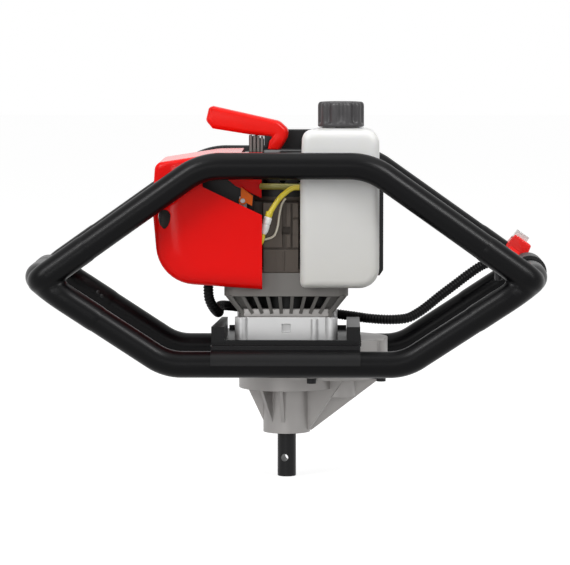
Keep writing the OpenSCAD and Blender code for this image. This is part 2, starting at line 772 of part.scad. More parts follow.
module crankcase_form() {
    difference() {
        union() {
            translate([0, 0, case_z]) linear_extrude(4) round_rect(-band_x, -band_y, band_x, band_y, 14);
            rod_z(case_z, starter_z, 0, 0, case_r);
            block([flange_x, -33, case_z + 6], [0, 33, starter_z - 6]);
            block([panel_x[0], -panel_y + 3, case_z + 1], [panel_x[1], -20, starter_z - 6]);
            for (p = front_plates) block([p[0], -panel_y, p[1]], [p[2], -20, p[3]]);
            block([-3, -panel_y - 0.8, case_z + 3], [-1.5, -20, crank_z - 17]);
            block([20, 12, case_z + 1], [bracket_pad_x, 26, starter_z - 8]);
            rod_z(starter_z - 4, starter_z, 0, 0, starter_r);
        }
        rod_z(crank_z - 18, crank_z + 18, 0, 0, crank_disc_r + 2);
        rod_z(crank_bearing_z[0], crank_bearing_z[1] + crank_bearing_w, 0, 0, crank_bearing_r + run_fit);
        rod_z(case_z - 1, starter_z + 1, 0, 0, crank_shaft_r + 2);
        block([-case_r - 1, -case_r, case_z + 4], [flange_x, case_r, starter_z - 4]);
        rod_x(flange_x - 1, 0, 0, crank_z, bore_d / 2 + 1);
        block([-4.5, -panel_y - 1, crank_z + 1], [4.5, -panel_y + 8, crank_z + 9]);
        block([-band_x - 1, -24, case_z - 1], [-band_x + 12, 24, case_z + 5]);
    }
}

module crankcase_half(z0, z1) {
    color(cast_grey) intersection() {
        crankcase_form();
        block([-100, -100, z0], [100, 100, z1]);
    }
}

module crankcase_lower() {
    crankcase_half(case_z, crank_z);
}

module crankcase_upper() {
    crankcase_half(crank_z, starter_z);
}

module crankshaft() {
    color(steel) for (s = [-1, 1]) {
        disc_z = s < 0 ? crank_z - rod_gap / 2 - crank_disc_t : crank_z + rod_gap / 2;
        difference() {
            rod_z(disc_z, disc_z + crank_disc_t, 0, 0, crank_disc_r);
            for (a = [150, 210]) rotate([0, 0, a]) rod_z(disc_z - 1, disc_z + crank_disc_t + 1, 36, 0, 13);
        }
        if (s < 0) rod_z(drum_floor_z + drum_wall + 2, disc_z, 0, 0, crank_shaft_r);
        else rod_z(disc_z + crank_disc_t, starter_z + 8, 0, 0, crank_shaft_r);
    }
    color(steel) difference() {
        ring_z(starter_z + 1, starter_z + 12, 20, crank_shaft_r + run_fit);
        rod_z(starter_z + 3, starter_z + 13, 0, 0, 17);
    }
}

module crank_bearings() {
    color(steel) for (z = crank_bearing_z)
        bearing(z, crank_bearing_w, crank_shaft_r + run_fit, crank_bearing_r);
}

wrist_x = -throw - rod_len;
wrist_r = 5;

module connecting_rod() {
    half = rod_gap / 2 - clear;
    pin_r = 7;
    color(steel) difference() {
        union() {
            rod_z(crank_z - half, crank_z + half, -throw, 0, pin_r + 4);
            rod_z(crank_z - half, crank_z + half, wrist_x, 0, wrist_r + 4);
            block([wrist_x, -4, crank_z - 3], [-throw, 4, crank_z + 3]);
        }
        rod_z(crank_z - half - 1, crank_z + half + 1, wrist_x, 0, wrist_r + run_fit);
    }
}

module piston() {
    skirt = wrist_x + 12;
    crown = wrist_x - 20;
    r = bore_d / 2 - run_fit;
    color(cast_silver) difference() {
        rod_x(crown, skirt, 0, crank_z, r);
        rod_x(crown + 6, skirt + 1, 0, crank_z, r - 4);
        for (x = [crown + 3, crown + 7]) difference() {
            rod_x(x, x + 1.5, 0, crank_z, r + 1);
            rod_x(x - 1, x + 3, 0, crank_z, r - 1.5);
        }
    }
    color(steel) rod_z(crank_z - r + 2, crank_z + r - 2, wrist_x, 0, wrist_r);
}

head_x = -cylinder_len;
plug_r = 7;

module cylinder_fins() {
    pitch = (cylinder_len - 54) / (fin_count - 1);
    for (i = [0 : fin_count - 1])
        rod_x(-50 - i * pitch - 1.2, -50 - i * pitch + 1.2, 0, crank_z, fin_d / 2);
}

module engine_cylinder() {
    wall = 5;
    port_r = 8;
    color(cast_silver) difference() {
        union() {
            rod_x(head_x, flange_x, 0, crank_z, bore_d / 2 + wall);
            block([flange_x - 8, -31, crank_z - 31], [flange_x, 31, crank_z + 31]);
            cylinder_fins();
            rod_y(-port_y, 0, intake_x, crank_z, port_r + 4);
            rod_y(0, port_y, port_x, crank_z, port_r + 5);
        }
        rod_x(head_x + 5, flange_x + 1, 0, crank_z, bore_d / 2);
        rod_x(head_x - 1, head_x + 6, 0, crank_z, plug_r + run_fit);
        rod_y(-port_y - 1, 0, intake_x, crank_z, port_r);
        rod_y(0, port_y + 1, port_x, crank_z, port_r);
    }
}

module spark_plug() {
    color([0.9, 0.9, 0.88]) {
        rod_x(head_x - 8, head_x + 4.5, 0, crank_z, plug_r);
        translate([head_x, 0, crank_z]) rotate([0, -90, 0]) cylinder(r = 11, h = 8, $fn = 6);
        rod_x(head_x - 22, head_x - 8, 0, crank_z, 5);
    }
}

boot_end_x = head_x - 28;

module plug_boot() {
    drop = 16;
    color([0.05, 0.05, 0.05]) difference() {
        union() {
            rod_x(boot_end_x, head_x - 10, 0, crank_z, 8);
            rod_z(crank_z - drop, crank_z, boot_end_x + 6, 0, 5);
        }
        rod_x(head_x - 22.5, head_x - 9, 0, crank_z, 5 + run_fit);
    }
}

coil_x = -60;

module ignition_coil() {
    color([0.08, 0.08, 0.09]) {
        block([coil_x, -14, case_z - 15], [coil_x + 12.5, 14, case_z]);
        for (y = [-11, 7]) block([coil_x + 12, y, case_z - 13], [coil_x + 14, y + 4, case_z - 7]);
    }
}

// Route of the spark plug lead from the coil to the boot
lead_route = [[coil_x - 0.4, 8, case_z - 7], [coil_x - 8, 8, case_z - 6], [coil_x - 18, 9, case_z - 4],
    [coil_x - 35, 10, case_z - 3], [boot_end_x + 22, 8, case_z + 1], [boot_end_x + 12, 5, case_z + 8],
    [boot_end_x + 7, 2, crank_z - 24], [boot_end_x + 6, 0, crank_z - 16.8]];
module ignition_lead() {
    color([0.07, 0.07, 0.07]) flexible_line(lead_route, 5, 8, 2);
}

module muffler() {
    depth = 27;
    half_x = 26;
    half_z = 28;
    color([0.2, 0.2, 0.2]) {
        difference() {
            along_y(port_y, port_y + depth) translate([port_x - 8, crank_z])
                round_rect(-half_x, -half_z, half_x, half_z, 9);
            along_y(port_y + 2, port_y + depth - 2) translate([port_x - 8, crank_z])
                round_rect(-half_x + 2, -half_z + 2, half_x - 2, half_z - 2, 7);
            rod_y(port_y - 1, port_y + 5, port_x, crank_z, 8);
            rod_y(port_y + depth - 5, port_y + depth + 1, port_x - 22, crank_z - 16, 4);
        }
        difference() {
            rod_y(port_y + depth, port_y + depth + 8, port_x - 22, crank_z - 16, 6);
            rod_y(port_y + depth - 1, port_y + depth + 9, port_x - 22, crank_z - 16, 4);
        }
    }
}

carb_x = [intake_x - 42, intake_x - 8];
carb_y = -57;

module intake_elbow() {
    half = 11;
    shield_y = [-fin_d / 2 - 8, -fin_d / 2 - 6];
    color([0.1, 0.1, 0.1]) difference() {
        union() {
            block([carb_x[1], carb_y - half, crank_z - half], [intake_x + 10, -port_y, crank_z + half]);
            along_y(shield_y[0], shield_y[1]) polygon([
                [carb_x[1], crank_z], [-34, crank_z], [-34, top_z - 3], [-starter_r - 27, top_z - 4],
                [-cylinder_len - 14, top_z - 12], [-cylinder_len - 14, crank_z + 20],
                [carb_x[1], crank_z + 20]]);
        }
        rod_y(carb_y - 8, -port_y + 1, intake_x, crank_z, 6.8);
        rod_x(carb_x[1] - 1, intake_x, carb_y, crank_z, 6);
    }
}

choke_at = [-starter_r - 0.5, crank_z + 37];
choke_pin_r = 2.5;

module carburetor() {
    arm_y = [carb_y - 3, carb_y + 1];
    color([0.55, 0.55, 0.56]) difference() {
        union() {
            block([carb_x[0] + 3, carb_y - 11, crank_z - 16], [carb_x[1] - 3, carb_y + 11, crank_z + 18]);
            for (x = [carb_x[0], carb_x[1] - 4])
                block([x, carb_y - 13, crank_z - 13], [x + 4, carb_y + 13, crank_z + 13]);
            rod_z(crank_z - 22, crank_z - 15, (carb_x[0] + carb_x[1]) / 2, carb_y, 9);
            rod_x(carb_x[1] - 5, carb_x[1] + 7, carb_y, crank_z - 14.5, 1.6);
            block([carb_x[1] - 8, arm_y[0], crank_z + 15], [choke_at.x + 4, arm_y[1], crank_z + 20]);
            block([choke_at.x - 4, arm_y[0], crank_z + 15], [choke_at.x + 4, arm_y[1], choke_at[1] + 4]);
            rod_y(arm_y[0] - 7, arm_y[0], choke_at.x, choke_at[1], choke_pin_r);
        }
        rod_x(carb_x[0] - 1, carb_x[1] + 1, carb_y, crank_z, 8);
    }
}

module choke_lever() {
    y = [carb_y - 9, carb_y - 3 - clear];
    color([0.95, 0.36, 0.04]) difference() {
        union() {
            rod_y(y[0], y[1], choke_at.x, choke_at[1], 4.2);
            along_y(y[0], y[1]) translate(choke_at)
                polygon([[-2.2, 1.5], [9.7, -5.6], [10.7, 4.9], [-1.9, 14.4]]);
        }
        rod_y(y[0] - 1, y[1] + 1, choke_at.x, choke_at[1], choke_pin_r + run_fit);
    }
}

filter_x = [-cylinder_len - 30, carb_x[0]];
filter_low = crank_z - 10.5;

module air_filter_case() {
    lo = [filter_x[0], carb_y - 13, filter_low];
    hi = [filter_x[1], carb_y + 13, crank_z + 36];
    color([0.06, 0.06, 0.06]) difference() {
        block(lo, hi);
        block(lo + [2, -1, 2], hi - [2, 2, 2]);
        rod_x(hi.x - 3, hi.x + 1, carb_y, crank_z, 8);
    }
}

module air_filter_element() {
    color([0.15, 0.14, 0.13]) block([filter_x[0] + 2 + clear, carb_y - 12, filter_low + 2 + clear],
        [filter_x[1] - 8, carb_y + 11 - clear, crank_z + 34 - clear]);
}

// Shroud over the cylinder, drawn from the front

shroud_front = -band_y - 18;
shroud_back = band_y + 3;
shroud_low = case_z - 18.5;
shroud_high = top_z + 2;
shroud_left = -cylinder_len - 37;
shroud_right = -25;
shroud_slope = -starter_r - 29;

function shroud_points(inset, right) = [
    [right, shroud_low + inset], [right, shroud_high - inset], [shroud_slope, shroud_high - 1 - inset],
    [shroud_left + 3 + inset, shroud_high - 11 - inset], [shroud_left + inset, crank_z + 31],
    [shroud_left + 7 + inset, shroud_low + 9.5 + inset]];

module shroud_outline(inset, right) {
    round_outline(shroud_points(inset, right), [0, 0, 0, 9 - inset, 30, 40 - inset]);
}

module engine_shroud() {
    inner_wall_y = [-starter_r - 5, -starter_r - 2.5];
    inner_left = shroud_slope + 4;
    window_left = shroud_slope - 13.5;
    color(moulded_red) difference() {
        union() {
            difference() {
                along_y(shroud_front, shroud_back) shroud_outline(0, shroud_right);
                along_y(shroud_front + shroud_wall, shroud_back + 1)
                    shroud_outline(shroud_wall, shroud_right + 1);
            }
            along_y(inner_wall_y[0], inner_wall_y[1]) polygon([
                [inner_left, starter_z + 26], [inner_left + 16, starter_z + 12],
                [shroud_right - 1, starter_z - 1], [shroud_right - 1, shroud_high - 1.5],
                [inner_left, shroud_high - 1.5]]);
        }
        block([-band_x - 3, -band_y - 2, shroud_low - 10], [0, shroud_back + 1, starter_z - 4]);
        block([-starter_r - 2.5, inner_wall_y[1], starter_z - 14], [0, shroud_back + 1, shroud_high + 10]);
        along_y(shroud_front - 1, inner_wall_y[0] - 1) polygon([
            [window_left, starter_z + 12], [shroud_right + 1, starter_z - 18],
            [shroud_right + 1, shroud_high - 9], [window_left, shroud_high - 16]]);
        along_y(shroud_front - 1, shroud_front + 5) translate([shroud_left + 13, crank_z + 18]) {
            translate([0, 4]) circle(r = 6.5);
            translate([0, -4]) circle(r = 6.5);
            square([13, 8], center = true);
        }
        rod_z(shroud_low - 10, shroud_low + 20, conduit_end.x, conduit_end.y, conduit_d / 2 + clear);
    }
}

// Recoil starter

rope_at = [-32, -20];
post_x = [-40, -24];
post_h = 16;
pulley_z = starter_z + 16;
pulley_h = 14;
pulley_bore = 6;
groove_r = 16;
grip_z = top_z + post_h + 12;

module starter_housing() {
    wall = 3;
    roof = 3;
    vents = 14;
    color([0.07, 0.07, 0.075]) difference() {
        union() {
            rod_z(starter_z, top_z, 0, 0, starter_r);
            block([post_x[0], rope_at.y - 7, top_z - 1], [post_x[1], rope_at.y + 7, top_z + post_h + 6]);
        }
        difference() {
            rod_z(starter_z - 1, top_z - roof, 0, 0, starter_r - wall);
            rod_z(pulley_z - 1, top_z, 0, 0, pulley_bore);
        }
        rod_z(top_z - 5, top_z + post_h + 8, rope_at.x, rope_at.y, rope_d / 2 + 0.5);
        for (i = [0 : vents - 1]) rotate([0, 0, i * 360 / vents + 8])
            block([starter_r - 10, -3, starter_z + 8], [starter_r + 1, 3, starter_z + 30]);
        translate([rope_at.x, rope_at.y, grip_z]) rotate([0, grip_tilt, 0])
            translate([0, 0, -11 - clear]) block([-40, -20, 0], [40, 20, 40]);
        for (y = [-8, 4])
            block([post_x[0] + 4, rope_at.y + y, top_z + 2],
                [post_x[1] - 4, rope_at.y + y + 4, top_z + post_h + 8]);
    }
}

module starter_pulley() {
    color([0.8, 0.78, 0.7]) difference() {
        rod_z(pulley_z, pulley_z + pulley_h, 0, 0, pulley_r);
        rod_z(pulley_z - 1, pulley_z + pulley_h + 1, 0, 0, pulley_bore + run_fit);
        ring_z(pulley_z + 3, pulley_z + pulley_h - 3, pulley_r + 1, groove_r);
    }
}

// Flat spiral whose outer end reaches the housing's wall
module starter_spring() {
    turns = 5;
    r_in = 9;
    r_out = 31;
    thick = 1;
    steps = 24 * turns;
    reach = starter_r - 3 - clear;
    function at(i, inset) = polar(r_in - inset + (r_out - r_in) * i / steps, 360 * turns * i / steps);
    strip = concat([for (i = [0 : steps]) at(i, 0)], [[reach, 0], [reach, thick], [r_out - thick, thick]],
        [for (i = [steps : -1 : 0]) at(i, thick)]);
    color([0.35, 0.35, 0.37]) translate([0, 0, pulley_z + pulley_h + clear])
        linear_extrude(9) polygon(strip);
}

module rope_winding() {
    color([0.85, 0.85, 0.82])
        ring_z(pulley_z + 3.2, pulley_z + pulley_h - 3.2, pulley_r - 2, groove_r + 0.1);
}

module starter_rope() {
    color([0.85, 0.85, 0.82])
        rod_z(pulley_z + pulley_h / 2 - rope_d / 2, grip_z - 5.1, rope_at.x, rope_at.y, rope_d / 2);
}

module grip_section(len, half_y, half_z, cut) {
    rotate([90, 0, 90]) linear_extrude(len) polygon([
        [-half_y + cut, -half_z], [half_y - cut, -half_z], [half_y, -half_z + cut], [half_y, half_z - cut],
        [half_y - cut, half_z], [-half_y + cut, half_z], [-half_y, half_z - cut], [-half_y, -half_z + cut]]);
}

module starter_grip() {
    color(moulded_red) difference() {
        translate([rope_at.x, rope_at.y, grip_z]) rotate([0, grip_tilt, 0]) {
            hull() {
                translate([-46, 0, 0]) grip_section(68, 13, 11, 5);
                translate([-55, 0, 0]) grip_section(4, 10, 7, 4);
                translate([30, 0, -2]) grip_section(4, 11, 7, 5);
            }
            hull() {
                translate([20, 0, -6]) grip_section(14, 10, 4, 2);
                translate([22, 0, -17]) grip_section(9, 9, 4, 3);
            }
        }
        rod_z(grip_z - 40, grip_z - 5, rope_at.x, rope_at.y, rope_d / 2 + run_fit);
    }
}

// Fuel tank

tank_x = 15;
tank_z = case_z - 15;
tank_front = -78;
tank_waist = -band_y - 2.5;
tank_back = 8;
neck_at = [tank_x + 43, -40];
neck_r = cap_r - 5.5;
neck_top = tank_z + tank_h + 22.5;

// Front view of the tank, inset by its wall for the hollow
module tank_outline(inset) {
    x1 = tank_x + tank_w - inset;
    z1 = tank_z + tank_h - inset;
    round_outline([[tank_x + inset, tank_z + inset], [x1, tank_z + inset], [x1, z1], [tank_x + inset, z1]],
        [6 - inset, 21 - inset, 15 - inset, 14 - inset]);
}

// Plan of the tank: a front slab, and deeper lobes above the fan housing
module tank_body(inset) {
    x1 = tank_x + tank_w;
    lobe_x = starter_r + 3;
    slab_back = -starter_r - 2.5;
    case_top = case_z + 6;
    intersection() {
        along_y(tank_front - 1, tank_back + 1) tank_outline(inset);
        union() {
            translate([0, 0, tank_z - 1]) linear_extrude(tank_h + 2)
                round_rect(tank_x + inset, tank_front + inset, x1 - inset, tank_waist - inset, 8 - inset);
            translate([0, 0, case_top + inset]) linear_extrude(tank_h) {
                round_rect(tank_x + inset, tank_front + inset, x1 - inset, slab_back - inset, 8 - inset);
                round_rect(lobe_x + inset, tank_front + inset, x1 - inset, tank_back - inset, 8 - inset);
            }
        }
    }
}

module fuel_tank() {
    color([0.93, 0.93, 0.9]) difference() {
        union() {
            tank_body(0);
            rod_z(tank_z + tank_h - 4, tank_z + tank_h + 2, neck_at.x, neck_at.y, cap_r - 1);
            rod_z(tank_z + tank_h - 4, neck_top, neck_at.x, neck_at.y, neck_r);
            rod_x(tank_x - 7, tank_x + 3, fuel_port.y, fuel_port.z, 2);
        }
        tank_body(tank_wall);
        rod_z(tank_z + tank_h - 9, neck_top + 1, neck_at.x, neck_at.y, neck_r - 3);
    }
}

module tank_bracket() {
    y = [tank_back + clear, tank_back + 28];
    right = tank_x + tank_w + 5.5;
    low = case_z - 8;
    high = tank_z + tank_h - 3;
    shelf = top_z + 3;
    color([0.06, 0.06, 0.065]) difference() {
        union() {
            along_y(y[0], y[1]) polygon([
                [starter_r + 2, case_z + 5], [band_x + 2, case_z + 5], [band_x + 2, low], [right - 4, low],
                [right, low + 6], [right, high - 42], [tank_x + 30, high], [-8, high], [-8, shelf],
                [starter_r + 2, shelf]]);
            for (z = [case_z + 16, starter_z - 24])
                block([bracket_pad_x, 13, z], [starter_r + 4, 25, z + 12]);
        }
        along_y(y[0] + 4, y[1] + 1) polygon([
            [starter_r + 5, case_z + 8], [band_x + 5, case_z + 8], [band_x + 5, low + 3],
            [right - 6, low + 3], [right - 3, low + 8], [right - 3, high - 44], [tank_x + 29, high - 3],
            [-5, high - 3], [-5, shelf + 3], [starter_r + 5, shelf + 3]]);
        for (k = [0 : 4])
            translate([right - 4, y[0] + 6, starter_z - 24 + 7 * k]) cube([5, y[1] - y[0] - 10, 4]);
    }
}

cap_z = neck_top + 2.4 + 4 - cap_h;

module fuel_cap() {
    scallops = 10;
    color([0.17, 0.17, 0.175]) translate([neck_at.x, neck_at.y, 0]) difference() {
        rod_z(cap_z, cap_z + cap_h, 0, 0, cap_r);
        rod_z(cap_z - 1, neck_top + 2.4, 0, 0, neck_r + clear);
        for (i = [0 : scallops - 1]) rotate([0, 0, 360 * i / scallops])
            rod_z(cap_z + 3, cap_z + cap_h - 3, cap_r + 6, 0, 7.4);
        ring_z(cap_z + cap_h - 1, cap_z + cap_h + 1, cap_r - 7, 6);
    }
}

module cap_liner() {
    color([0.75, 0.72, 0.6]) ring_z_at(neck_at, neck_top + 0.1, neck_top + 2.3, neck_r - 0.2, 3);
}

module ring_z_at(p, z0, z1, r_out, r_in) {
    translate([p.x, p.y, 0]) ring_z(z0, z1, r_out, r_in);
}

// Route of the fuel line from the tank down to the white in-line filter, and on to the carburettor
fuel_y = carb_y - 10;
fuel_port = [tank_x, fuel_y, crank_z + 50];
fuel_filter = [[-19, fuel_y, crank_z + 20], [-24, fuel_y, crank_z]];
fuel_upper = [fuel_port - [7.4, 0, 0], [2, fuel_y, crank_z + 49], [-6, fuel_y, crank_z + 43],
    [-13, fuel_y, crank_z + 33], [-17, fuel_y, crank_z + 25], fuel_filter[0]];
fuel_lower = [fuel_filter[1], [-26, fuel_y + 1, crank_z - 6], [-31, fuel_y + 4, crank_z - 12],
    [carb_x[1] + 18, fuel_y + 8, crank_z - 14.5], [carb_x[1] + 7.5, carb_y, crank_z - 14.5]];
module fuel_line() {
    filter_len = norm(fuel_filter[1] - fuel_filter[0]);
    color([0.75, 0.72, 0.15]) {
        flexible_line(fuel_upper, 5.5, 8, 2);
        flexible_line(fuel_lower, 5.5, 8, 2);
    }
    color([0.95, 0.95, 0.93]) along(fuel_filter[0], unit(fuel_filter[1] - fuel_filter[0])) {
        cylinder(r = 3.4, h = 4);
        translate([0, 0, 4]) cylinder(r = 5, h = 13);
        translate([0, 0, 17]) cylinder(r = 3.4, h = filter_len - 17);
    }
}

// Route of the corrugated conduit from the shroud, behind the clutch, to the throttle
conduit_end = [-83, -38];
conduit_route = [[-83, -38, 214], [-83, -38, 204], [-82, -36, 194], [-78, -31, 185], [-74, -21, 179],
    [-73, -6, 178], [-74, 12, 180], [-72, 32, 181], [-62, 50, 179], [-42, 62, 175],
    [-15, 66, 172], [15, 66, 171],
    [45, 62, 170], [70, 52, 168], [90, 44, 166], [112, 42, 165], [130, 47, 166], [141, 52, 170.5],
    [152, 57, 177.5], [167, 63, 189], [183, 69, 200.5], [200, 73, 213], [hand_x - 48, 74, hand_z + 2],
    [hand_x - 38, 71.5, hand_z + 5], [hand_x - 32.5, 65.5, hand_z + 2.8], [hand_x - 30.3, 59, hand_z + 0.4],
    [hand_x - 30, 52.4, hand_z]];
module control_conduit() {
    color([0.05, 0.05, 0.05]) flexible_line(conduit_route, conduit_d, 10, 2);
}

// Throttle on the right hand bar

throttle_y = [4, 52];
pivot = [hand_x - 26, throttle_y[1] - 12];
trigger_z = [hand_z - 7, hand_z + 7];

module throttle_housing() {
    clamp_r = tube_d / 2 + 4;
    color([0.05, 0.05, 0.055]) difference() {
        union() {
            rod_y(throttle_y[0], throttle_y[1], hand_x, hand_z, clamp_r);
            block([hand_x - 36, pivot.y - 10, hand_z - 11], [hand_x, throttle_y[1], hand_z + 11]);
        }
        rod_y(throttle_y[0] - 1, throttle_y[1] + 1, hand_x, hand_z, tube_d / 2 + weld_gap);
        block([hand_x - 40, 0, trigger_z[0] - clear], [hand_x - 15, pivot.y + 7, trigger_z[1] + clear]);
    }
    color(steel) rod_z(hand_z - 9, hand_z + 9, pivot.x, pivot.y, trigger_pin_d / 2);
}

module throttle_trigger() {
    thick = trigger_z[1] - trigger_z[0];
    color([0.08, 0.08, 0.085]) translate([pivot.x, pivot.y, trigger_z[0]]) difference() {
        union() {
            cylinder(r = 6, h = thick);
            linear_extrude(thick) polygon([[-5, 1], [4, -1], [-1, -20], [-6, -57], [-9, -60],
                [-12, -59], [-13, -56], [-11, -20]]);
        }
        translate([0, 0, -1]) cylinder(d = trigger_pin_d + 2 * run_fit, h = thick + 2);
    }
}

// Stop switch on the rear arch's right leg

switch_dir = unit(arch_end(1, 1) - upper_knee(1, 1));
switch_up = cross(switch_dir, [0, 1, 0]);
switch_at = arch_end(1, 1) - switch_dir * 8;

module on_switch() {
    at_axes(switch_at, switch_dir, [0, 1, 0], switch_up) children();
}

button_x = [-10, 5.5];
button_y = 7;
switch_top = tube_d / 2 + 12;
button_low = switch_top - 4;

module stop_switch() {
    color(moulded_red) difference() {
        on_switch() difference() {
            union() {
                block([-12, -11, 6], [15, 11, switch_top]);
                block([12, -8, 8], [21, 8, switch_top - 9]);
                rod_x(-7, 7, 0, 0, tube_d / 2 + 2.5);
            }
            rod_x(-30, 30, 0, 0, tube_d / 2 + weld_gap);
            block([button_x[0] - clear, -button_y - clear, button_low - button_travel - clear],
                [button_x[1] + clear, button_y + clear, switch_top + 1]);
        }
        corner_room(1, 1, weld_gap);
    }
}

module stop_button() {
    color([0.9, 0.88, 0.86]) on_switch() difference() {
        block([button_x[0], -button_y, button_low], [button_x[1], button_y, switch_top + 5.5]);
        for (x = [button_x[0] + 4 : 4 : button_x[1] - 4])
            block([x - 0.8, -button_y - 1, switch_top + 4.5], [x + 0.8, button_y + 1, switch_top + 7]);
    }
}

lower_tube(-1);  // lower_front_tube
lower_tube(1);  // lower_rear_tube
handle_tube(-1);  // left_handle_tube
handle_tube(1);  // right_handle_tube
upper_tube(-1);  // upper_front_tube
upper_tube(1);  // upper_rear_tube
cradle();
cradle_bolts();
gearbox_lower_housing();
gearbox_gasket();
gearbox_upper_housing();
gearbox_bolts();
output_shaft();
output_gear();
output_bearings();
oil_seal();
countershaft();
countershaft_gear();
countershaft_bearings();
clutch_drum();
drum_bearings();
bearing_block();
fan_housing();
flywheel();
clutch_shoes();
clutch_bolts();
crankcase_lower();
crankcase_upper();
crankshaft();
crank_bearings();
connecting_rod();
piston();
engine_cylinder();
spark_plug();
plug_boot();
ignition_coil();
ignition_lead();
muffler();
intake_elbow();
carburetor();
choke_lever();
air_filter_case();
air_filter_element();
engine_shroud();
starter_housing();
starter_pulley();
starter_spring();
rope_winding();
starter_rope();
starter_grip();
fuel_tank();
tank_bracket();
fuel_cap();
cap_liner();
fuel_line();
control_conduit();
throttle_trigger();
throttle_housing();
stop_switch();
stop_button();
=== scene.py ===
import json
import math

import bmesh
import bpy
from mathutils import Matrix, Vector


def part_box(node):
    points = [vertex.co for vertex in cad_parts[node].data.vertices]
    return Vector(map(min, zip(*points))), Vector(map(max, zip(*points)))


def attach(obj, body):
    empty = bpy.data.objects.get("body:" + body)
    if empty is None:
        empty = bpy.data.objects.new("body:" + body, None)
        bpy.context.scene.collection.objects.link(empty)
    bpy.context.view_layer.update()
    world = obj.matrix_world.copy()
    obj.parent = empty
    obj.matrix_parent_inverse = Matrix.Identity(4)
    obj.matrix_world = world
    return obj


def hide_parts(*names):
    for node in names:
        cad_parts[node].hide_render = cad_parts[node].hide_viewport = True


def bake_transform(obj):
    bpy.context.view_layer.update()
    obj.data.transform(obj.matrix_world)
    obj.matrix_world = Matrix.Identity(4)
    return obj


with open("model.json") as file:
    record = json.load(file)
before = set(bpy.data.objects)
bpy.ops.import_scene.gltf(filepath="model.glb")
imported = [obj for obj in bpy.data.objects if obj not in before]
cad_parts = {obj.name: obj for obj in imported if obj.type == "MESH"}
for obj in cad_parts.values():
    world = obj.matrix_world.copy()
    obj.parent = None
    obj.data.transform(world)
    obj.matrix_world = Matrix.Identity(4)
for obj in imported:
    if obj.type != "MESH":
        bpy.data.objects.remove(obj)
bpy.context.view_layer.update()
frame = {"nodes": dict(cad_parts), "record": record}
NODES = frame["nodes"]
MM = 0.001


# Geometry helpers: all lengths in millimetres, in the CAD frame

def shade(obj, angle=35):
    """Smooth shading, with edges sharper than the angle kept crisp."""
    mesh = obj.data
    mesh.polygons.foreach_set("use_smooth", [True] * len(mesh.polygons))
    mesh.set_sharp_from_angle(angle=math.radians(angle))
    return obj


def merged(name, parts, angle=35):
    """One object from several (verts, faces) parts."""
    verts, faces = [], []
    for part_verts, part_faces in parts:
        base = len(verts)
        verts += part_verts
        faces += [[base + i for i in f] for f in part_faces]
    mesh = bpy.data.meshes.new(name)
    mesh.from_pydata([Vector(v) * MM for v in verts], [], faces)
    mesh.update()
    obj = bpy.data.objects.new(name, mesh)
    bpy.context.scene.collection.objects.link(obj)
    return shade(obj, angle)


def smooth_line(points, steps):
    """Points on a smooth curve through the given ones."""
    points = [Vector(p) for p in points]
    last = len(points) - 1
    line = []
    for i in range(last):
        p, q, r, s = points[max(0, i - 1)], points[i], points[i + 1], points[min(last, i + 2)]
        for k in range(steps):
            t = k / steps
            line.append(0.5 * (2 * q + (r - p) * t + (2 * p - 5 * q + 4 * r - s) * t * t
                               + (3 * q - p - 3 * r + s) * t ** 3))
    line.append(points[last])
    return line


def even_line(line, pitch):
    """The same line with points a fixed distance apart."""
    out, left = [line[0].copy()], pitch
    for a, b in zip(line, line[1:]):
        span = (b - a).length
        at = left
        while at <= span:
            out.append(a.lerp(b, at / span))
            at += pitch
        left = at - span
    return out


def loft(rings, closed=False):
    """Verts and faces through closed rings of equal length; the ends are filled, or joined to each other."""
    n, count = len(rings[0]), len(rings)
    verts = [Vector(p) for ring in rings for p in ring]
    faces = []
    for i in range(count if closed else count - 1):
        up = (i + 1) % count
        for k in range(n):
            j = (k + 1) % n
            faces.append([i * n + k, i * n + j, up * n + j, up * n + k])
    if not closed:
        faces.append([k for k in reversed(range(n))])
        faces.append([(count - 1) * n + k for k in range(n)])
    return verts, faces


def circle(centre, r, u, v, sides):
    """Points round a centre, in the plane of two directions."""
    turns = [2 * math.pi * k / sides for k in range(sides)]
    return [centre + r * (math.cos(a) * u + math.sin(a) * v) for a in turns]


def ring_frames(line):
    """A pair of cross directions for each point, turning as little as possible along the line."""
    last = len(line) - 1
    dirs = [(line[min(i + 1, last)] - line[max(i - 1, 0)]).normalized() for i in range(last + 1)]
    u = dirs[0].orthogonal().normalized()
    frames = []
    for d in dirs:
        u = (u - d * u.dot(d)).normalized()
        frames.append((u.copy(), d.cross(u)))
    return frames


def sweep(line, radius, sides=12):
    """A round tube along a line; radius is one number or one for each point."""
    line = [Vector(p) for p in line]
    radii = radius if isinstance(radius, list) else [radius] * len(line)
    return loft([circle(p, r, u, v, sides) for p, r, (u, v) in zip(line, radii, ring_frames(line))])


def turned_part(profile, origin, axis, sides=48, closed=False):
    """A profile of (radius, distance along the axis) turned round an axis; a closed profile makes a ring."""
    axis = Vector(axis).normalized()
    u = axis.orthogonal().normalized()
    v = axis.cross(u)
    return loft([circle(Vector(origin) + axis * h, r, u, v, sides) for r, h in profile], closed)


def box_part(lo, hi):
    x, y, z = zip(lo, hi)
    verts = [Vector((x[i & 1], y[i >> 1 & 1], z[i >> 2 & 1])) for i in range(8)]
    faces = [[0, 2, 3, 1], [4, 5, 7, 6], [0, 1, 5, 4], [2, 6, 7, 3], [0, 4, 6, 2], [1, 3, 7, 5]]
    return verts, faces


def prism_part(outline, y0, y1):
    """An outline in X and Z between two depths."""
    return loft([[(p[0], y, p[1]) for p in outline] for y in (y0, y1)])


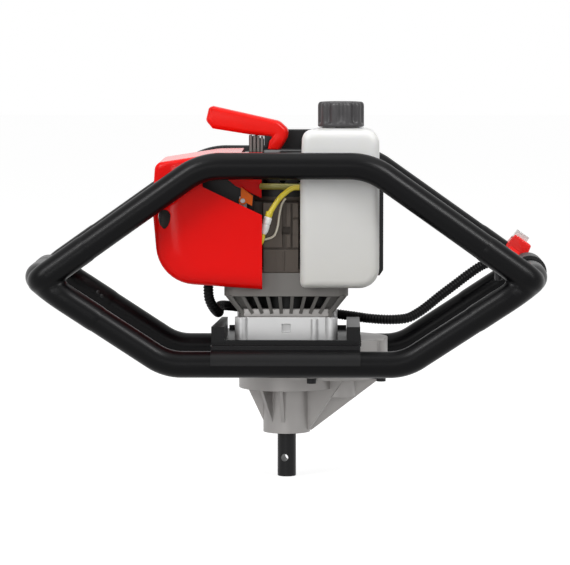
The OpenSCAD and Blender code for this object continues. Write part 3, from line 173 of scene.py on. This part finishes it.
def round_outline(points, radii, steps=10):
    """A closed outline with true round corners, evenly stepped."""
    out, n = [], len(points)
    for i in range(n):
        p = Vector(points[i])
        a = (Vector(points[i - 1]) - p).normalized()
        b = (Vector(points[(i + 1) % n]) - p).normalized()
        half = a.angle(b) / 2
        centre = p + (a + b).normalized() * radii[i] / math.sin(half)
        start = p + a * radii[i] / math.tan(half) - centre
        end = p + b * radii[i] / math.tan(half) - centre
        turn = start.angle_signed(end) if radii[i] > 0 else 0
        for k in range(steps + 1):
            t = k / steps
            c, s = math.cos(-turn * t), math.sin(-turn * t)
            out.append(centre + Vector((start.x * c - start.y * s, start.x * s + start.y * c)))
    return out


def inset_outline(points, radii, depths):
    """A round-cornered outline with each side, from one point to the next, moved inward by its own depth."""
    n = len(points)
    starts, dirs = [], []
    for i in range(n):
        a, b = Vector(points[i]), Vector(points[(i + 1) % n])
        d = (b - a).normalized()
        starts.append(a + Vector((-d.y, d.x)) * depths[i])
        dirs.append(d)
    moved, rounds = [], []
    for i in range(n):
        along = (starts[i] - starts[i - 1]).cross(dirs[i]) / dirs[i - 1].cross(dirs[i])
        moved.append(starts[i - 1] + dirs[i - 1] * along)
        rounds.append(max(radii[i] - min(depths[i], depths[i - 1]), 0.3))
    return round_outline(moved, rounds)


def pillow(points, radii, y_front, y_back, front, back, steps=6, crown=0.0):
    """A slab between two depths, outlined in X and Z, with rounded rims; front and back give a rim's depth
    and the inset of each side. A crown bulges the front."""
    n = len(points)

    def ring(insets, share, y):
        depths = insets if isinstance(insets, list) else [insets] * n
        return [(p.x, y, p.y) for p in inset_outline(points, radii, [d * share for d in depths])]

    turns = [math.pi / 2 * k / steps for k in range(steps + 1)]
    rings = [ring(front[1], 1 - math.sin(a), y_front + front[0] * (1 - math.cos(a))) for a in turns]
    if crown:
        flat = [Vector(p) for p in rings[0]]
        centre = sum(flat, Vector()) / len(flat)
        rings = [[centre.lerp(p, f) - Vector((0, crown * (1 - f * f), 0)) for p in flat]
                 for f in (0.2, 0.5, 0.75, 0.9)] + rings
    rings += [ring(back[1], 1 - math.cos(a), y_back - back[0] * (1 - math.sin(a))) for a in turns]
    return loft(rings)


def tidy_normals(obj):
    bm = bmesh.new()
    bm.from_mesh(obj.data)
    bmesh.ops.recalc_face_normals(bm, faces=bm.faces)
    bm.to_mesh(obj.data)
    bm.free()


def bake(obj, angle=35):
    """Turns an object's modifiers into its mesh."""
    graph = bpy.context.evaluated_depsgraph_get()
    mesh = bpy.data.meshes.new_from_object(obj.evaluated_get(graph))
    obj.modifiers.clear()
    obj.data = mesh
    return shade(obj, angle)


def carve(obj, cutters):
    """Cuts other shapes out of an object."""
    tidy_normals(obj)
    for cutter in cutters:
        tidy_normals(cutter)
        cut = obj.modifiers.new("cut", "BOOLEAN")
        cut.operation = "DIFFERENCE"
        cut.solver = "EXACT"
        cut.object = cutter
    bake(obj)
    for cutter in cutters:
        bpy.data.objects.remove(cutter)


def one_skin(obj, voxel, rounds, angle):
    """Turns an object's overlapping parts into one smooth skin."""
    tidy_normals(obj)
    net = obj.modifiers.new("net", "REMESH")
    net.mode = "VOXEL"
    net.voxel_size = voxel * MM
    soft = obj.modifiers.new("soft", "SMOOTH")
    soft.factor = 0.5
    soft.iterations = rounds
    return bake(obj, angle)


# Materials

def math_node(tree, operation, *values):
    """Output of a math node whose inputs are numbers or other sockets."""
    node = tree.nodes.new("ShaderNodeMath")
    node.operation = operation
    for socket, value in zip(node.inputs, values):
        if isinstance(value, (int, float)):
            socket.default_value = value
        else:
            tree.links.new(value, socket)
    return node.outputs[0]


def surface_group():
    """Colour mottling, roughness variation, fine grain and softened edges for every finish."""
    group = bpy.data.node_groups.new("surface_finish", "ShaderNodeTree")
    number, colour, vector = ("NodeSocket" + kind for kind in ("Float", "Color", "Vector"))
    for name, kind, value in (("Colour", colour, (0.8, 0.8, 0.8, 1)), ("Mottle", number, 0.1),
                              ("Mottle scale", number, 40.0), ("Roughness", number, 0.4),
                              ("Grain", number, 0.1), ("Grain scale", number, 900.0),
                              ("Edge", number, 0.0008)):
        group.interface.new_socket(name, in_out="INPUT", socket_type=kind).default_value = value
    for name, kind in (("Colour", colour), ("Roughness", number), ("Normal", vector)):
        group.interface.new_socket(name, in_out="OUTPUT", socket_type=kind)
    n, link = group.nodes, group.links.new
    inp, out = n.new("NodeGroupInput").outputs, n.new("NodeGroupOutput").inputs
    place = n.new("ShaderNodeTexCoord")

    def noise(detail, scale):
        node = n.new("ShaderNodeTexNoise")
        node.inputs["Detail"].default_value = detail
        link(place.outputs["Object"], node.inputs["Vector"])
        link(inp[scale], node.inputs["Scale"])
        return node.outputs["Fac"]

    centred = math_node(group, "SUBTRACT", noise(4, "Mottle scale"), 0.5)
    value = math_node(group, "ADD", math_node(group, "MULTIPLY", centred, inp["Mottle"]), 1.0)
    tint = n.new("ShaderNodeHueSaturation")
    link(inp["Colour"], tint.inputs["Color"])
    link(value, tint.inputs["Value"])
    link(tint.outputs["Color"], out["Colour"])
    link(math_node(group, "MULTIPLY", inp["Roughness"], value), out["Roughness"])
    edge = n.new("ShaderNodeBevel")
    edge.samples = 4
    link(inp["Edge"], edge.inputs["Radius"])
    bump = n.new("ShaderNodeBump")
    bump.inputs["Distance"].default_value = 0.0004
    link(inp["Grain"], bump.inputs["Strength"])
    link(noise(3, "Grain scale"), bump.inputs["Height"])
    link(edge.outputs["Normal"], bump.inputs["Normal"])
    link(bump.outputs["Normal"], out["Normal"])
    return group


SURFACE = surface_group()
MATERIALS = {}


def material(name, colour, rough, metal=0.0, mottle=0.12, grain=0.1, grain_scale=900.0, edge=0.8, coat=0.0,
             specular=0.5, glow=0.0, foot=None):
    """A finish by name; foot gives two heights and the colour of a painted shade that darkens it from the
    second height to the first.
    """
    mat = bpy.data.materials.new(name)
    mat.use_nodes = True
    nodes, link = mat.node_tree.nodes, mat.node_tree.links.new
    shader = nodes["Principled BSDF"].inputs
    group = nodes.new("ShaderNodeGroup")
    group.node_tree = SURFACE
    for key, value in (("Colour", (*colour, 1)), ("Mottle", mottle), ("Mottle scale", 40.0),
                       ("Roughness", rough), ("Grain", grain), ("Grain scale", grain_scale),
                       ("Edge", edge * MM)):
        group.inputs[key].default_value = value
    base = group.outputs["Colour"]
    # Painted shade: the colour is multiplied towards the foot's colour from the upper height down to the lower
    # one
    if foot:
        place, parts, fade = (nodes.new("ShaderNode" + kind)
                              for kind in ("TexCoord", "SeparateXYZ", "MapRange"))
        low, high, painted_shade_colour = foot
        fade.inputs["From Min"].default_value = high * MM
        fade.inputs["From Max"].default_value = low * MM
        shadow = nodes.new("ShaderNodeMix")
        shadow.data_type, shadow.blend_type = "RGBA", "MULTIPLY"
        shadow.inputs["B"].default_value = (*painted_shade_colour, 1)
        link(place.outputs["Object"], parts.inputs["Vector"])
        link(parts.outputs["Z"], fade.inputs["Value"])
        link(fade.outputs["Result"], shadow.inputs["Factor"])
        link(base, shadow.inputs["A"])
        base = shadow.outputs["Result"]
    link(base, shader["Base Color"])
    link(group.outputs["Roughness"], shader["Roughness"])
    link(group.outputs["Normal"], shader["Normal"])
    shader["Metallic"].default_value = metal
    shader["Coat Weight"].default_value = coat
    shader["Coat Roughness"].default_value = 0.12
    shader["Specular IOR Level"].default_value = specular
    if glow:
        shader["Subsurface Weight"].default_value = glow
        shader["Subsurface Radius"].default_value = (0.012, 0.012, 0.01)
        shader["Subsurface Scale"].default_value = 1.0
    MATERIALS[name] = mat


material("frame_paint", (0.002, 0.002, 0.0025), 0.32, grain=0.02, grain_scale=500, mottle=0.2, specular=0.105)
material("cradle_paint", (0.005, 0.005, 0.0055), 0.36, grain=0.05, specular=0.15)
material("black_bolts", (0.012, 0.012, 0.013), 0.42, metal=0.2, specular=0.25)
material("cast_silver", (0.375, 0.36, 0.35), 0.42, metal=0.35, grain=0.25, grain_scale=700, edge=1.2,
         mottle=0.16)
material("cast_bright", (0.56, 0.56, 0.56), 0.36, metal=0.45, grain=0.2, grain_scale=700, edge=1.2)
material("cast_grey", (0.17, 0.163, 0.153), 0.5, metal=0.2, grain=0.25, grain_scale=700, specular=0.35)
material("engine_grey", (0.088, 0.072, 0.06), 0.5, metal=0.1, grain=0.25, specular=0.22)
material("machined_steel", (0.55, 0.55, 0.56), 0.3, metal=1.0, grain=0.05)
material("shaft_black", (0.007, 0.007, 0.008), 0.36, metal=0.1, edge=0.5, specular=0.22)
material("gasket_fibre", (0.05, 0.055, 0.05), 0.8)
material("seal_rubber", (0.02, 0.018, 0.018), 0.6)
material("friction_lining", (0.12, 0.1, 0.09), 0.7)
material("plug_ceramic", (0.85, 0.85, 0.83), 0.2)
material("boot_rubber", (0.010, 0.010, 0.010), 0.55, specular=0.25)
material("black_plastic", (0.011, 0.011, 0.012), 0.45, grain=0.2, grain_scale=1200, specular=0.25)
material("muffler_metal", (0.05, 0.05, 0.05), 0.55, metal=0.4)
material("foam", (0.03, 0.03, 0.028), 0.95, grain=1.0, grain_scale=1500)
material("orange_plastic", (0.72, 0.13, 0.008), 0.3, edge=1.0, specular=0.12)
material("red_plastic", (0.87, 0.004, 0.003), 0.15, grain=0.02, mottle=0.06, edge=1.0, specular=0.1)
material("grip_red", (0.86, 0.010, 0.006), 0.28, grain=0.05, mottle=0.06, edge=1.2, specular=0.12)
material("switch_red", (0.95, 0.014, 0.010), 0.26, grain=0.05, specular=0.2)
material("button_white", (0.75, 0.72, 0.7), 0.25, coat=0.4)
material("pulley_plastic", (0.6, 0.58, 0.5), 0.45)
material("spring_steel", (0.3, 0.3, 0.32), 0.35, metal=1.0)
material("rope_cord", (0.6, 0.6, 0.57), 0.85, grain=0.6, grain_scale=1200)
# Painted shade: the tank's colour darkens and warms towards its bottom
material("tank_plastic", (0.82, 0.82, 0.81), 0.38, grain=0.05, mottle=0.04, glow=0.2, edge=1.5, specular=0.3,
         foot=(205, 345, (0.78, 0.77, 0.74)))
material("cap_plastic", (0.046, 0.044, 0.046), 0.4, grain=0.15, edge=0.6, specular=0.3)
material("liner_cork", (0.4, 0.35, 0.28), 0.8)
material("fuel_hose", (0.75, 0.60, 0.03), 0.3, edge=0.3)
material("conduit_plastic", (0.003, 0.003, 0.0035), 0.42, edge=0.2, specular=0.1)
material("olive_hose", (0.30, 0.28, 0.05), 0.35, edge=0.3)
material("pale_hose", (0.62, 0.58, 0.48), 0.35, edge=0.3)
material("filter_white", (0.86, 0.86, 0.84), 0.35, edge=0.6)
# Near-black clutch drum: painted shade inside the fan housing
material("drum_painted_shade", (0.02, 0.02, 0.02), 0.5, metal=0.3, specular=0.2)

# Swapped finishes: a brighter cast finish for the bearing block, and the clutch drum painted near black as
# painted shade
FINISH_AND_SHADE_SWAPS = {"clutch_drum": "drum_painted_shade", "bearing_block": "cast_bright"}
for part in frame["record"]["subparts"]:
    finish = MATERIALS[FINISH_AND_SHADE_SWAPS.get(part["node"], part["material_slot"])]
    slots = NODES[part["node"]].data.materials
    if len(slots) == 0:
        slots.append(finish)
    for index in range(len(slots)):
        slots[index] = finish


def finish_piece(obj, finish, body="head", stands_for=()):
    """Gives a piece its finish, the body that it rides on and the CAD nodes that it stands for."""
    obj.data.materials.clear()
    obj.data.materials.append(MATERIALS[finish])
    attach(obj, body)
    if stands_for:
        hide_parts(*stands_for)
    return obj


def new_piece(name, parts, finish, body="head", stands_for=(), angle=35):
    """A finished piece from several parts."""
    obj = merged(name, parts, angle)
    tidy_normals(obj)
    return finish_piece(obj, finish, body, stands_for)


# Frame: welded and dressed corners, where the arches run into the bends of the hand bars

TUBE_R = 14.0
BEND_R = 40.0
SKIN = 0.75
HAND = Vector((262, 95, 220))
LOWER = Vector((125, 95, 130.5))
ARCH_KNEE = Vector((88, 95, 339))
ARCH_END = HAND + Vector((-12, 0, 4))
ARCH_DIR = (ARCH_END - ARCH_KNEE).normalized()


def corner_line():
    """Centreline of a hand bar's corner, from the lower leg to the bar."""
    leg = (HAND - LOWER).normalized()
    bar = Vector((0, -1, 0))
    turn = leg.angle(bar)
    trim = BEND_R * math.tan(turn / 2)
    inward = (bar - leg * bar.dot(leg)).normalized()
    centre = HAND - leg * trim + inward * BEND_R
    line = [HAND - leg * 90 + leg * (90 - trim) * k / 12 for k in range(12)]
    for k in range(33):
        a = turn * k / 32
        line.append(centre - inward * BEND_R * math.cos(a) + leg * BEND_R * math.sin(a))
    line += [line[-1] + bar * 6 * k for k in range(1, 10)]
    return line


def faded(line, fade):
    """Radii along a line: a little over the tube's, falling below it at the faded ends."""
    n = len(line)
    radii = []
    for k in range(n):
        near = min(k if fade[0] else n, n - 1 - k if fade[1] else n)
        radii.append(TUBE_R + SKIN - max(0, 5 - near) * (SKIN + 1.4) / 5)
    return radii


def corner_part():
    """The end of an arch blended into the bend of its hand bar."""
    bend = even_line(corner_line(), 3)
    arch = [ARCH_END - ARCH_DIR * 62 * (1 - k / 23) for k in range(24)]
    radii = faded(arch, (True, False))
    into = corner_line()[34]
    for k in range(1, 13):
        f = k / 12
        arch.append(ARCH_END * (1 - f) ** 2 + (ARCH_END + ARCH_DIR * 13) * 2 * f * (1 - f) + into * f * f)
        radii.append(TUBE_R + SKIN - 1.5 * f)
    skin = merged("corner_skin", [sweep(bend, faded(bend, (True, True)), 40), sweep(arch, radii, 40)])
    one_skin(skin, 1.5, 22, 80)
    verts = [v.co / MM for v in skin.data.vertices]
    faces = [list(f.vertices) for f in skin.data.polygons]
    bpy.data.objects.remove(skin)
    return verts, faces


skin_verts, skin_faces = corner_part()
new_piece("corner_blends", [([Vector((v.x * sx, v.y * sy, v.z)) for v in skin_verts], skin_faces)
                            for sx in (-1, 1) for sy in (-1, 1)], "frame_paint", angle=80)

# Machined faces of the fan housing's foot, between its ribs
foot_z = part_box("fan_housing")[0][2] / MM
foot_low, foot_high = foot_z + 0.4, foot_z + 8.6
foot_outline = [(-45, foot_low), (45, foot_low), (45, foot_high), (-45, foot_high)]
new_piece("housing_foot", [pillow(foot_outline, [1, 1, 1, 1], y0, y1, (0.2, 0.2), (0.2, 0.2), steps=2)
                           for y0, y1 in ((-46.35, -45.6), (45.6, 46.35))], "cast_silver")

# Two small plugs in the rear left leg
plug_profile = [(2.4, -1.5), (2.4, 0.2), (1.9, 0.7), (0.8, 0.9)]
new_piece("leg_plugs", [turned_part(plug_profile, at, out, 20) for at, out in (
    ((-209.7, 81.75, 191.2), (0.18, -0.95, 0.27)), ((-205.3, 81.4, 186.8), (0.13, -0.97, 0.19)))],
    "black_bolts")


# Shroud: a moulded shell with rounded rims, open behind and on the right

SHROUD_FRONT, SHROUD_BACK, SHROUD_WALL = -75.0, 60.0, 2.5
outer_points = [(0, 205.5), (0, 352), (-74, 351), (-138, 341), (-141, 295), (-134, 215)]
inner_points = [(0, 208), (0, 349.5), (-74, 348.5), (-135.9, 338.8), (-138.4, 295), (-131.8, 217.3)]
shroud = merged("shroud_cover", [pillow(
    outer_points, [12, 12, 60, 9, 40, 42], SHROUD_FRONT, SHROUD_BACK, (8.5, [8, 4, 4.5, 32, 32, 18]), (2, 0),
    steps=14, crown=0.5)])
hollow = pillow(
    inner_points, [10, 10, 60, 7, 40, 39], SHROUD_FRONT + SHROUD_WALL, SHROUD_BACK + 6,
    (8, [7, 3.5, 4, 31, 31, 17]), (2, 0), steps=14)
hole = [(-128 + 6.5 * math.cos(a), 285.5 + 6.5 * math.sin(a)) for a in (math.pi * k / 20 for k in range(21))]
hole += [(-134, 280), (-132.4, 275.5), (-129.4, 272), (-127.2, 271.8), (-124.2, 275), (-122.2, 280)]
window = [(-87.5, 316), (-20, 284.1), (-20, 343.4), (-87.5, 336)]
carve(shroud, [merged("cut_" + name, [cut]) for name, cut in (
    ("hollow", hollow),
    ("right", box_part((-25, -90, 190), (20, 70, 370))),
    ("band", box_part((-69, -59, 190), (10, 70, 300))),
    ("starter", box_part((-47.5, -47.5, 290), (10, 70, 370))),
    ("front", prism_part(window, -90, -51)),
    ("hole", prism_part(hole, -90, -55)),
)])
finish_piece(shroud, "red_plastic", stands_for=["engine_shroud"])
inner_wall = [(-70, 330), (-54, 316), (-26, 303), (-26, 350), (-70, 349.5)]
new_piece("shroud_inner_wall", [prism_part(inner_wall, -50, -47.5)], "red_plastic")


# Fuel tank: one blown moulding, with a low cone and a neck under the cap

TANK_RIGHT, TANK_TOP = 98.5, 376
NECK_X, NECK_Y = 58, -40


def tank_slab(x0, z0, y0, y1, first_radius, rim_front, rim_back):
    corners = [(x0, z0), (TANK_RIGHT, z0), (TANK_RIGHT, TANK_TOP), (x0 + 2.2, TANK_TOP), (x0, 315)]
    radii = [first_radius, 21, 15, 11, 60]
    return pillow(corners, radii, y0, y1, (rim_front, rim_front), (rim_back, rim_back))


neck_profile = [(16, -6), (33, -6), (33, -1.5), (30, 0.2), (27, 1.0), (24, 1.2), (18.2, 1.2), (18.2, 22),
                (15.5, 22)]
tank = merged("tank_moulding", [
    tank_slab(15, 209, -78, -59.5, 6.5, 8, 5),
    tank_slab(15, 230, -72, -47.5, 6.5, 6, 6),
    tank_slab(48, 230, -70, 8, 9, 6, 9),
    turned_part(neck_profile, (NECK_X, NECK_Y, TANK_TOP), (0, 0, 1)),
])
one_skin(tank, 1.3, 6, 60)
finish_piece(tank, "tank_plastic", stands_for=["fuel_tank"])


# Fuel cap: a hollow moulded knob with ten flutes and a plain lower rim

CAP_FOOT, CAP_FLUTES = 378.4, 10


def fluted_part(profile, origin, lobes, sides=160):
    """A profile of (radius, height, flute depth) turned round Z, with the flutes cut into it."""
    rings = []
    for r, h, depth in profile:
        ring = []
        for k in range(sides):
            a = 2 * math.pi * k / sides
            wave = 0.5 - 0.5 * math.cos(a * lobes)
            cut = depth * wave ** 2
            ring.append(Vector(origin) + Vector(((r - cut) * math.cos(a), (r - cut) * math.sin(a), h)))
        rings.append(ring)
    return loft(rings)


cap_profile = [(3, 22.5, 0), (19.5, 22.5, 0), (19.5, 0.4, 0), (19.8, 0, 0), (23.4, 0, 0), (24.2, 0.5, 0),
               (24.5, 1.4, 0), (24.5, 3.2, 0), (24.4, 4, 0.8), (24.4, 5, 2.6), (24.4, 6.2, 3.4),
               (24.4, 14, 3.4), (24.4, 22, 3.4), (24.2, 23.6, 3.4), (23.8, 24.8, 3.3), (22.9, 25.8, 2.9),
               (21.6, 26.4, 2.2),
               (20.2, 26.5, 1.4), (18.8, 26.2, 0.8), (17.8, 25.6, 0.4), (17, 25.5, 0), (12, 25.5, 0),
               (11.4, 26, 0), (3, 26.4, 0)]
new_piece("cap_knob", [fluted_part(cap_profile, (NECK_X, NECK_Y, CAP_FOOT), CAP_FLUTES)], "cap_plastic", "cap",
          ["fuel_cap"], angle=40)


# Pull grip: a bevelled bar that turns down into a hook at its right end, with a black block inside the hook as
# painted shade in its hollow

grip_points = [(-78.8, 375.8), (-39.3, 369.5), (-15, 366.9), (-18.5, 362.5), (-20, 353), (-6.5, 353),
               (1.6, 366), (2.4, 375), (-7.2, 383.8), (-78, 399.6), (-82.5, 398.3), (-85.8, 384.4)]
grip_radii = [3, 30, 1.5, 4, 2, 4, 14, 8, 12, 3, 4, 5]
grip_rims = [5, 5, 1.5, 1.5, 1.5, 4, 5, 5, 4, 3, 4, 4]
new_piece("grip_handle", [pillow(grip_points, grip_radii, -33, -7, (6, grip_rims), (6, grip_rims), steps=5)],
          "grip_red", "grip", ["starter_grip"], angle=50)
# Painted shade: a black block fills the hook's hollow where shade falls
hollow_shade_points = [(-23.4, 354.5), (-19.5, 354.5), (-18, 361), (-11, 362), (-9.5, 369), (-23.6, 370.5)]
new_piece("grip_hollow_shade", [pillow(hollow_shade_points, [1, 1, 2, 2, 1, 1], -30, -10, (2, 1.5), (2, 1.5), steps=3)],
          "black_plastic", "grip")

# Ribs on the front of the rope post, each ending just under the sloping grip
RIB_Y, RIB_R, GRIP_SLOPE = -26.6, 1.6, 0.107
new_piece("post_ribs", [sweep([(x, RIB_Y, 351), (x, RIB_Y, 364.95 - GRIP_SLOPE * x)], RIB_R)
                        for x in (-38, -34, -30, -26)], "cast_grey")


# Starter rope: braided, running from its guide up to the grip

ROPE_X, ROPE_Y, ROPE_LOW, ROPE_HIGH, ROPE_STEPS = -32, -20, 325.3, 372.9, 40
rope_line = [(ROPE_X, ROPE_Y, ROPE_LOW + (ROPE_HIGH - ROPE_LOW) * k / ROPE_STEPS)
             for k in range(ROPE_STEPS + 1)]
rope = merged("pull_rope", [sweep(rope_line, [1.75 if k % 2 else 1.55 for k in range(ROPE_STEPS + 1)])])
tidy_normals(rope)
rope.data.materials.append(MATERIALS["rope_cord"])
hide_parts("starter_rope")
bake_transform(rope)


# Stop switch: a rounded housing with a low tail, strapped to the rear arch's right leg

SWITCH_AT = ARCH_END - ARCH_DIR * 8
LEG_ROOM = TUBE_R + 0.1


def on_switch(outline):
    """Points along the leg and away from it, turned into X and Z."""
    up = ARCH_DIR.cross(Vector((0, 1, 0)))
    spots = [SWITCH_AT + ARCH_DIR * u + up * v for u, v in outline]
    return [(spot.x, spot.z) for spot in spots]


switch_points = [(14, 6), (21, 8), (21, 12), (14.2, 17.2), (12.2, 26), (-9.6, 26), (-12, 6)]
button_room = [(-10.3, 18.7), (5.8, 18.7), (5.8, 28), (-10.3, 28)]
leg_profile = [(0, -40), (LEG_ROOM, -40), (LEG_ROOM, 40), (0, 40)]
switch = merged("switch_housing", [pillow(
    on_switch(switch_points), [0.8, 1.5, 2, 2, 2.5, 2.5, 0.8], 84, 106, (3, 1.2), (3, 1.2), steps=4)])
carve(switch, [
    merged("cut_leg", [turned_part(leg_profile, SWITCH_AT, ARCH_DIR)]),
    merged("cut_button", [prism_part(on_switch(button_room), 87.7, 102.3)])])
finish_piece(switch, "switch_red", stands_for=["stop_switch"])
strap_profile = [(LEG_ROOM, -7), (16.1, -7), (16.5, -6.6), (16.5, 6.6), (16.1, 7), (LEG_ROOM, 7)]
new_piece("switch_strap", [turned_part(strap_profile, SWITCH_AT, ARCH_DIR, closed=True)], "switch_red")


# Cords: the corrugated control conduit, the fuel line, the vent and return hoses and the ignition lead

def flexible(name, points, diameter, finish, stands_for=(), ribbed=False):
    """A round line through the given points."""
    line = even_line(smooth_line(points, 16), 0.8 if ribbed else 1.5)
    r = diameter / 2
    radii = [(r - 0.1, r, r - 0.6, r - 0.8)[k % 4] for k in range(len(line))] if ribbed else r
    obj = new_piece(name, [sweep(line, radii, 18)], finish, stands_for=stands_for, angle=80)


conduit_points = [(-83, -38, 214), (-83, -38, 204), (-82, -36, 194), (-78, -31, 185), (-74, -21, 179),
                  (-73, -6, 178), (-74, 12, 180), (-72, 32, 181), (-62, 50, 179), (-42, 62, 175),
                  (-15, 66, 172), (15, 66, 171), (45, 62, 170), (70, 52, 168), (90, 44, 166), (112, 42, 165),
                  (130, 47, 166),
                  (141, 52, 170.5), (152, 57, 177.5), (167, 63, 189), (183, 69, 200.5), (200, 73, 213),
                  (214, 74, 222), (224, 71.5, 225), (229.5, 65.5, 222.8), (231.7, 59, 220.4),
                  (232, 52.4, 220)]
flexible("conduit_tube", conduit_points, 11, "conduit_plastic", ["control_conduit"], ribbed=True)

FILTER_TOP, FILTER_DIR = Vector((-18.6, -67, 284)), Vector((-5.6, 0, -18)).normalized()
filter_profile = [(2.6, 0), (3.6, 0), (4.2, 0.8), (4.4, 1.6), (4.4, 7), (4.0, 7.4), (4.0, 8.4), (4.4, 8.8),
                  (4.4, 15.5), (3.8, 17), (3.4, 18.5), (2.6, 18.5)]
collar_profile = [(2.5, -5.6), (3.3, -5.6), (3.7, -5), (3.7, -0.9), (3.3, -0.3), (2.5, -0.3)]
inline = new_piece("inline_filter", [turned_part(filter_profile, FILTER_TOP, FILTER_DIR, 32)], "filter_white")
collar = new_piece("hose_collar", [turned_part(collar_profile, FILTER_TOP, FILTER_DIR, 28)], "fuel_hose")
fuel_points = [(14.2, -67, 315), (7.6, -67, 314.6), (2, -67, 311.5), (-6, -67, 304.5), (-12.5, -67, 295.5),
               (-16.6, -67, 288.5), (-18.6, -67, 284), (-21.4, -67, 275), (-24.2, -67, 266), (-26, -66, 258),
               (-31, -63, 252), (-40, -59, 249.5), (-50.5, -57, 249.5)]
flexible("fuel_hose_run", fuel_points, 5.5, "fuel_hose", ["fuel_line"])
vent_points = [(15.5, -57, 315), (8, -57, 315.2), (-4, -56.5, 315.4), (-16, -55, 315.4), (-27, -50.4, 315.4)]
flexible("vent_hose", vent_points, 6.6, "olive_hose")
return_points = [(-0.5, -62.8, 303.5), (-4.5, -62.4, 297), (-7.2, -61, 285), (-8.8, -60.6, 274),
                 (-11.5, -60.4, 265.5), (-15, -60.6, 262), (-20, -61, 260.3), (-27.5, -61.5, 258.8)]
flexible("return_hose", return_points, 2.4, "pale_hose")
lead_points = [(-60.4, 8, 217), (-68, 8, 218), (-78, 9, 220), (-95, 10, 221), (-110, 8, 225), (-120, 5, 232),
               (-125, 2, 240), (-126, 0, 247.2)]
flexible("ignition_wire", lead_points, 5, "boot_rubber", ["ignition_lead"])


# Stage: a pale floor and a white studio, in metres

FLOOR_HALF, FLOOR_Z = 12, -0.0006
WHITE = (1, 1, 1, 1)


def seen_rays(tree):
    """1 for rays that show the background: camera, mirror and glass rays."""
    ray = tree.nodes.new("ShaderNodeLightPath").outputs
    shown = math_node(tree, "MAXIMUM", ray["Is Camera Ray"], ray["Is Glossy Ray"])
    return math_node(tree, "MAXIMUM", shown, ray["Is Transmission Ray"])


floor_mesh = bpy.data.meshes.new("floor")
floor_corners = [(x * FLOOR_HALF, y * FLOOR_HALF, FLOOR_Z) for x, y in ((-1, -1), (1, -1), (1, 1), (-1, 1))]
floor_mesh.from_pydata(floor_corners, [], [[0, 1, 2, 3]])
floor = bpy.data.objects.new("floor", floor_mesh)
bpy.context.scene.collection.objects.link(floor)
floor_mat = bpy.data.materials.new("pale_floor")
floor_mat.use_nodes = True
tree = floor_mat.node_tree
base = tree.nodes["Principled BSDF"].inputs
base["Base Color"].default_value = (0.35, 0.35, 0.35, 1)
base["Roughness"].default_value = 0.9
base["Specular IOR Level"].default_value = 0.0
base["Emission Color"].default_value = WHITE
tree.links.new(math_node(tree, "MULTIPLY", seen_rays(tree), 0.86), base["Emission Strength"])
floor.data.materials.append(floor_mat)

world = bpy.data.worlds.new("studio")
bpy.context.scene.world = world
world.use_nodes = True
tree = world.node_tree
light_sky, seen_sky = tree.nodes["Background"], tree.nodes.new("ShaderNodeBackground")
both = tree.nodes.new("ShaderNodeMixShader")
tree.links.new(seen_rays(tree), both.inputs["Fac"])
for sky, strength, socket in ((light_sky, 0.36, 1), (seen_sky, 1.0, 2)):
    sky.inputs["Color"].default_value = WHITE
    sky.inputs["Strength"].default_value = strength
    tree.links.new(sky.outputs["Background"], both.inputs[socket])
tree.links.new(both.outputs["Shader"], tree.nodes["World Output"].inputs["Surface"])


# Light: soft boxes, and strips that show only as highlights

def softbox(name, place, target, width, height, power, diffuse=True):
    light = bpy.data.lights.new(name, "AREA")
    light.shape = "RECTANGLE"
    light.size, light.size_y = width, height
    light.energy = power
    obj = bpy.data.objects.new(name, light)
    obj.location = place
    obj.rotation_euler = (Vector(target) - Vector(place)).to_track_quat("-Z", "Y").to_euler()
    bpy.context.scene.collection.objects.link(obj)
    obj.visible_camera = False
    obj.visible_diffuse = diffuse


softbox("overhead", (0, -0.3, 2.6), (0, 0, 0.2), 3.2, 2.0, 30)
softbox("left", (-1.9, -1.7, 1.5), (0, 0, 0.25), 0.8, 1.5, 34)
softbox("right", (2.0, -1.5, 1.3), (0, 0, 0.25), 0.7, 1.5, 21)
softbox("front", (-0.4, -3.4, 0.9), (0, 0, 0.2), 1.6, 1.0, 10)
softbox("strip_left", (-1.2, -1.5, 2.0), (0, 0, 0.25), 0.3, 0.8, 28, diffuse=False)
softbox("strip_right", (1.25, -1.5, 1.9), (0, 0, 0.25), 0.4, 0.8, 42, diffuse=False)
softbox("strip_front", (-0.95, -3.5, 0.2), (0, 0, 0.27), 0.3, 0.5, 6, diffuse=False)


# Camera: the photo's view, with its focal length in pixels

PHOTO_WIDTH, FOCAL_PIXELS, SENSOR = 570, 3185, 36
camera = bpy.data.cameras.new("camera")
camera.sensor_width = SENSOR
camera.lens = FOCAL_PIXELS / PHOTO_WIDTH * SENSOR
camera.clip_start, camera.clip_end = 0.1, 60
camera_obj = bpy.data.objects.new("camera", camera)
camera_obj.location = (0.0480, -3.4193, 0.5007)
camera_obj.rotation_euler = (math.pi / 2 - 0.0851, 0, 0.0146)
bpy.context.scene.collection.objects.link(camera_obj)
bpy.context.scene.camera = camera_obj
bpy.context.scene.view_settings.view_transform = "Standard"
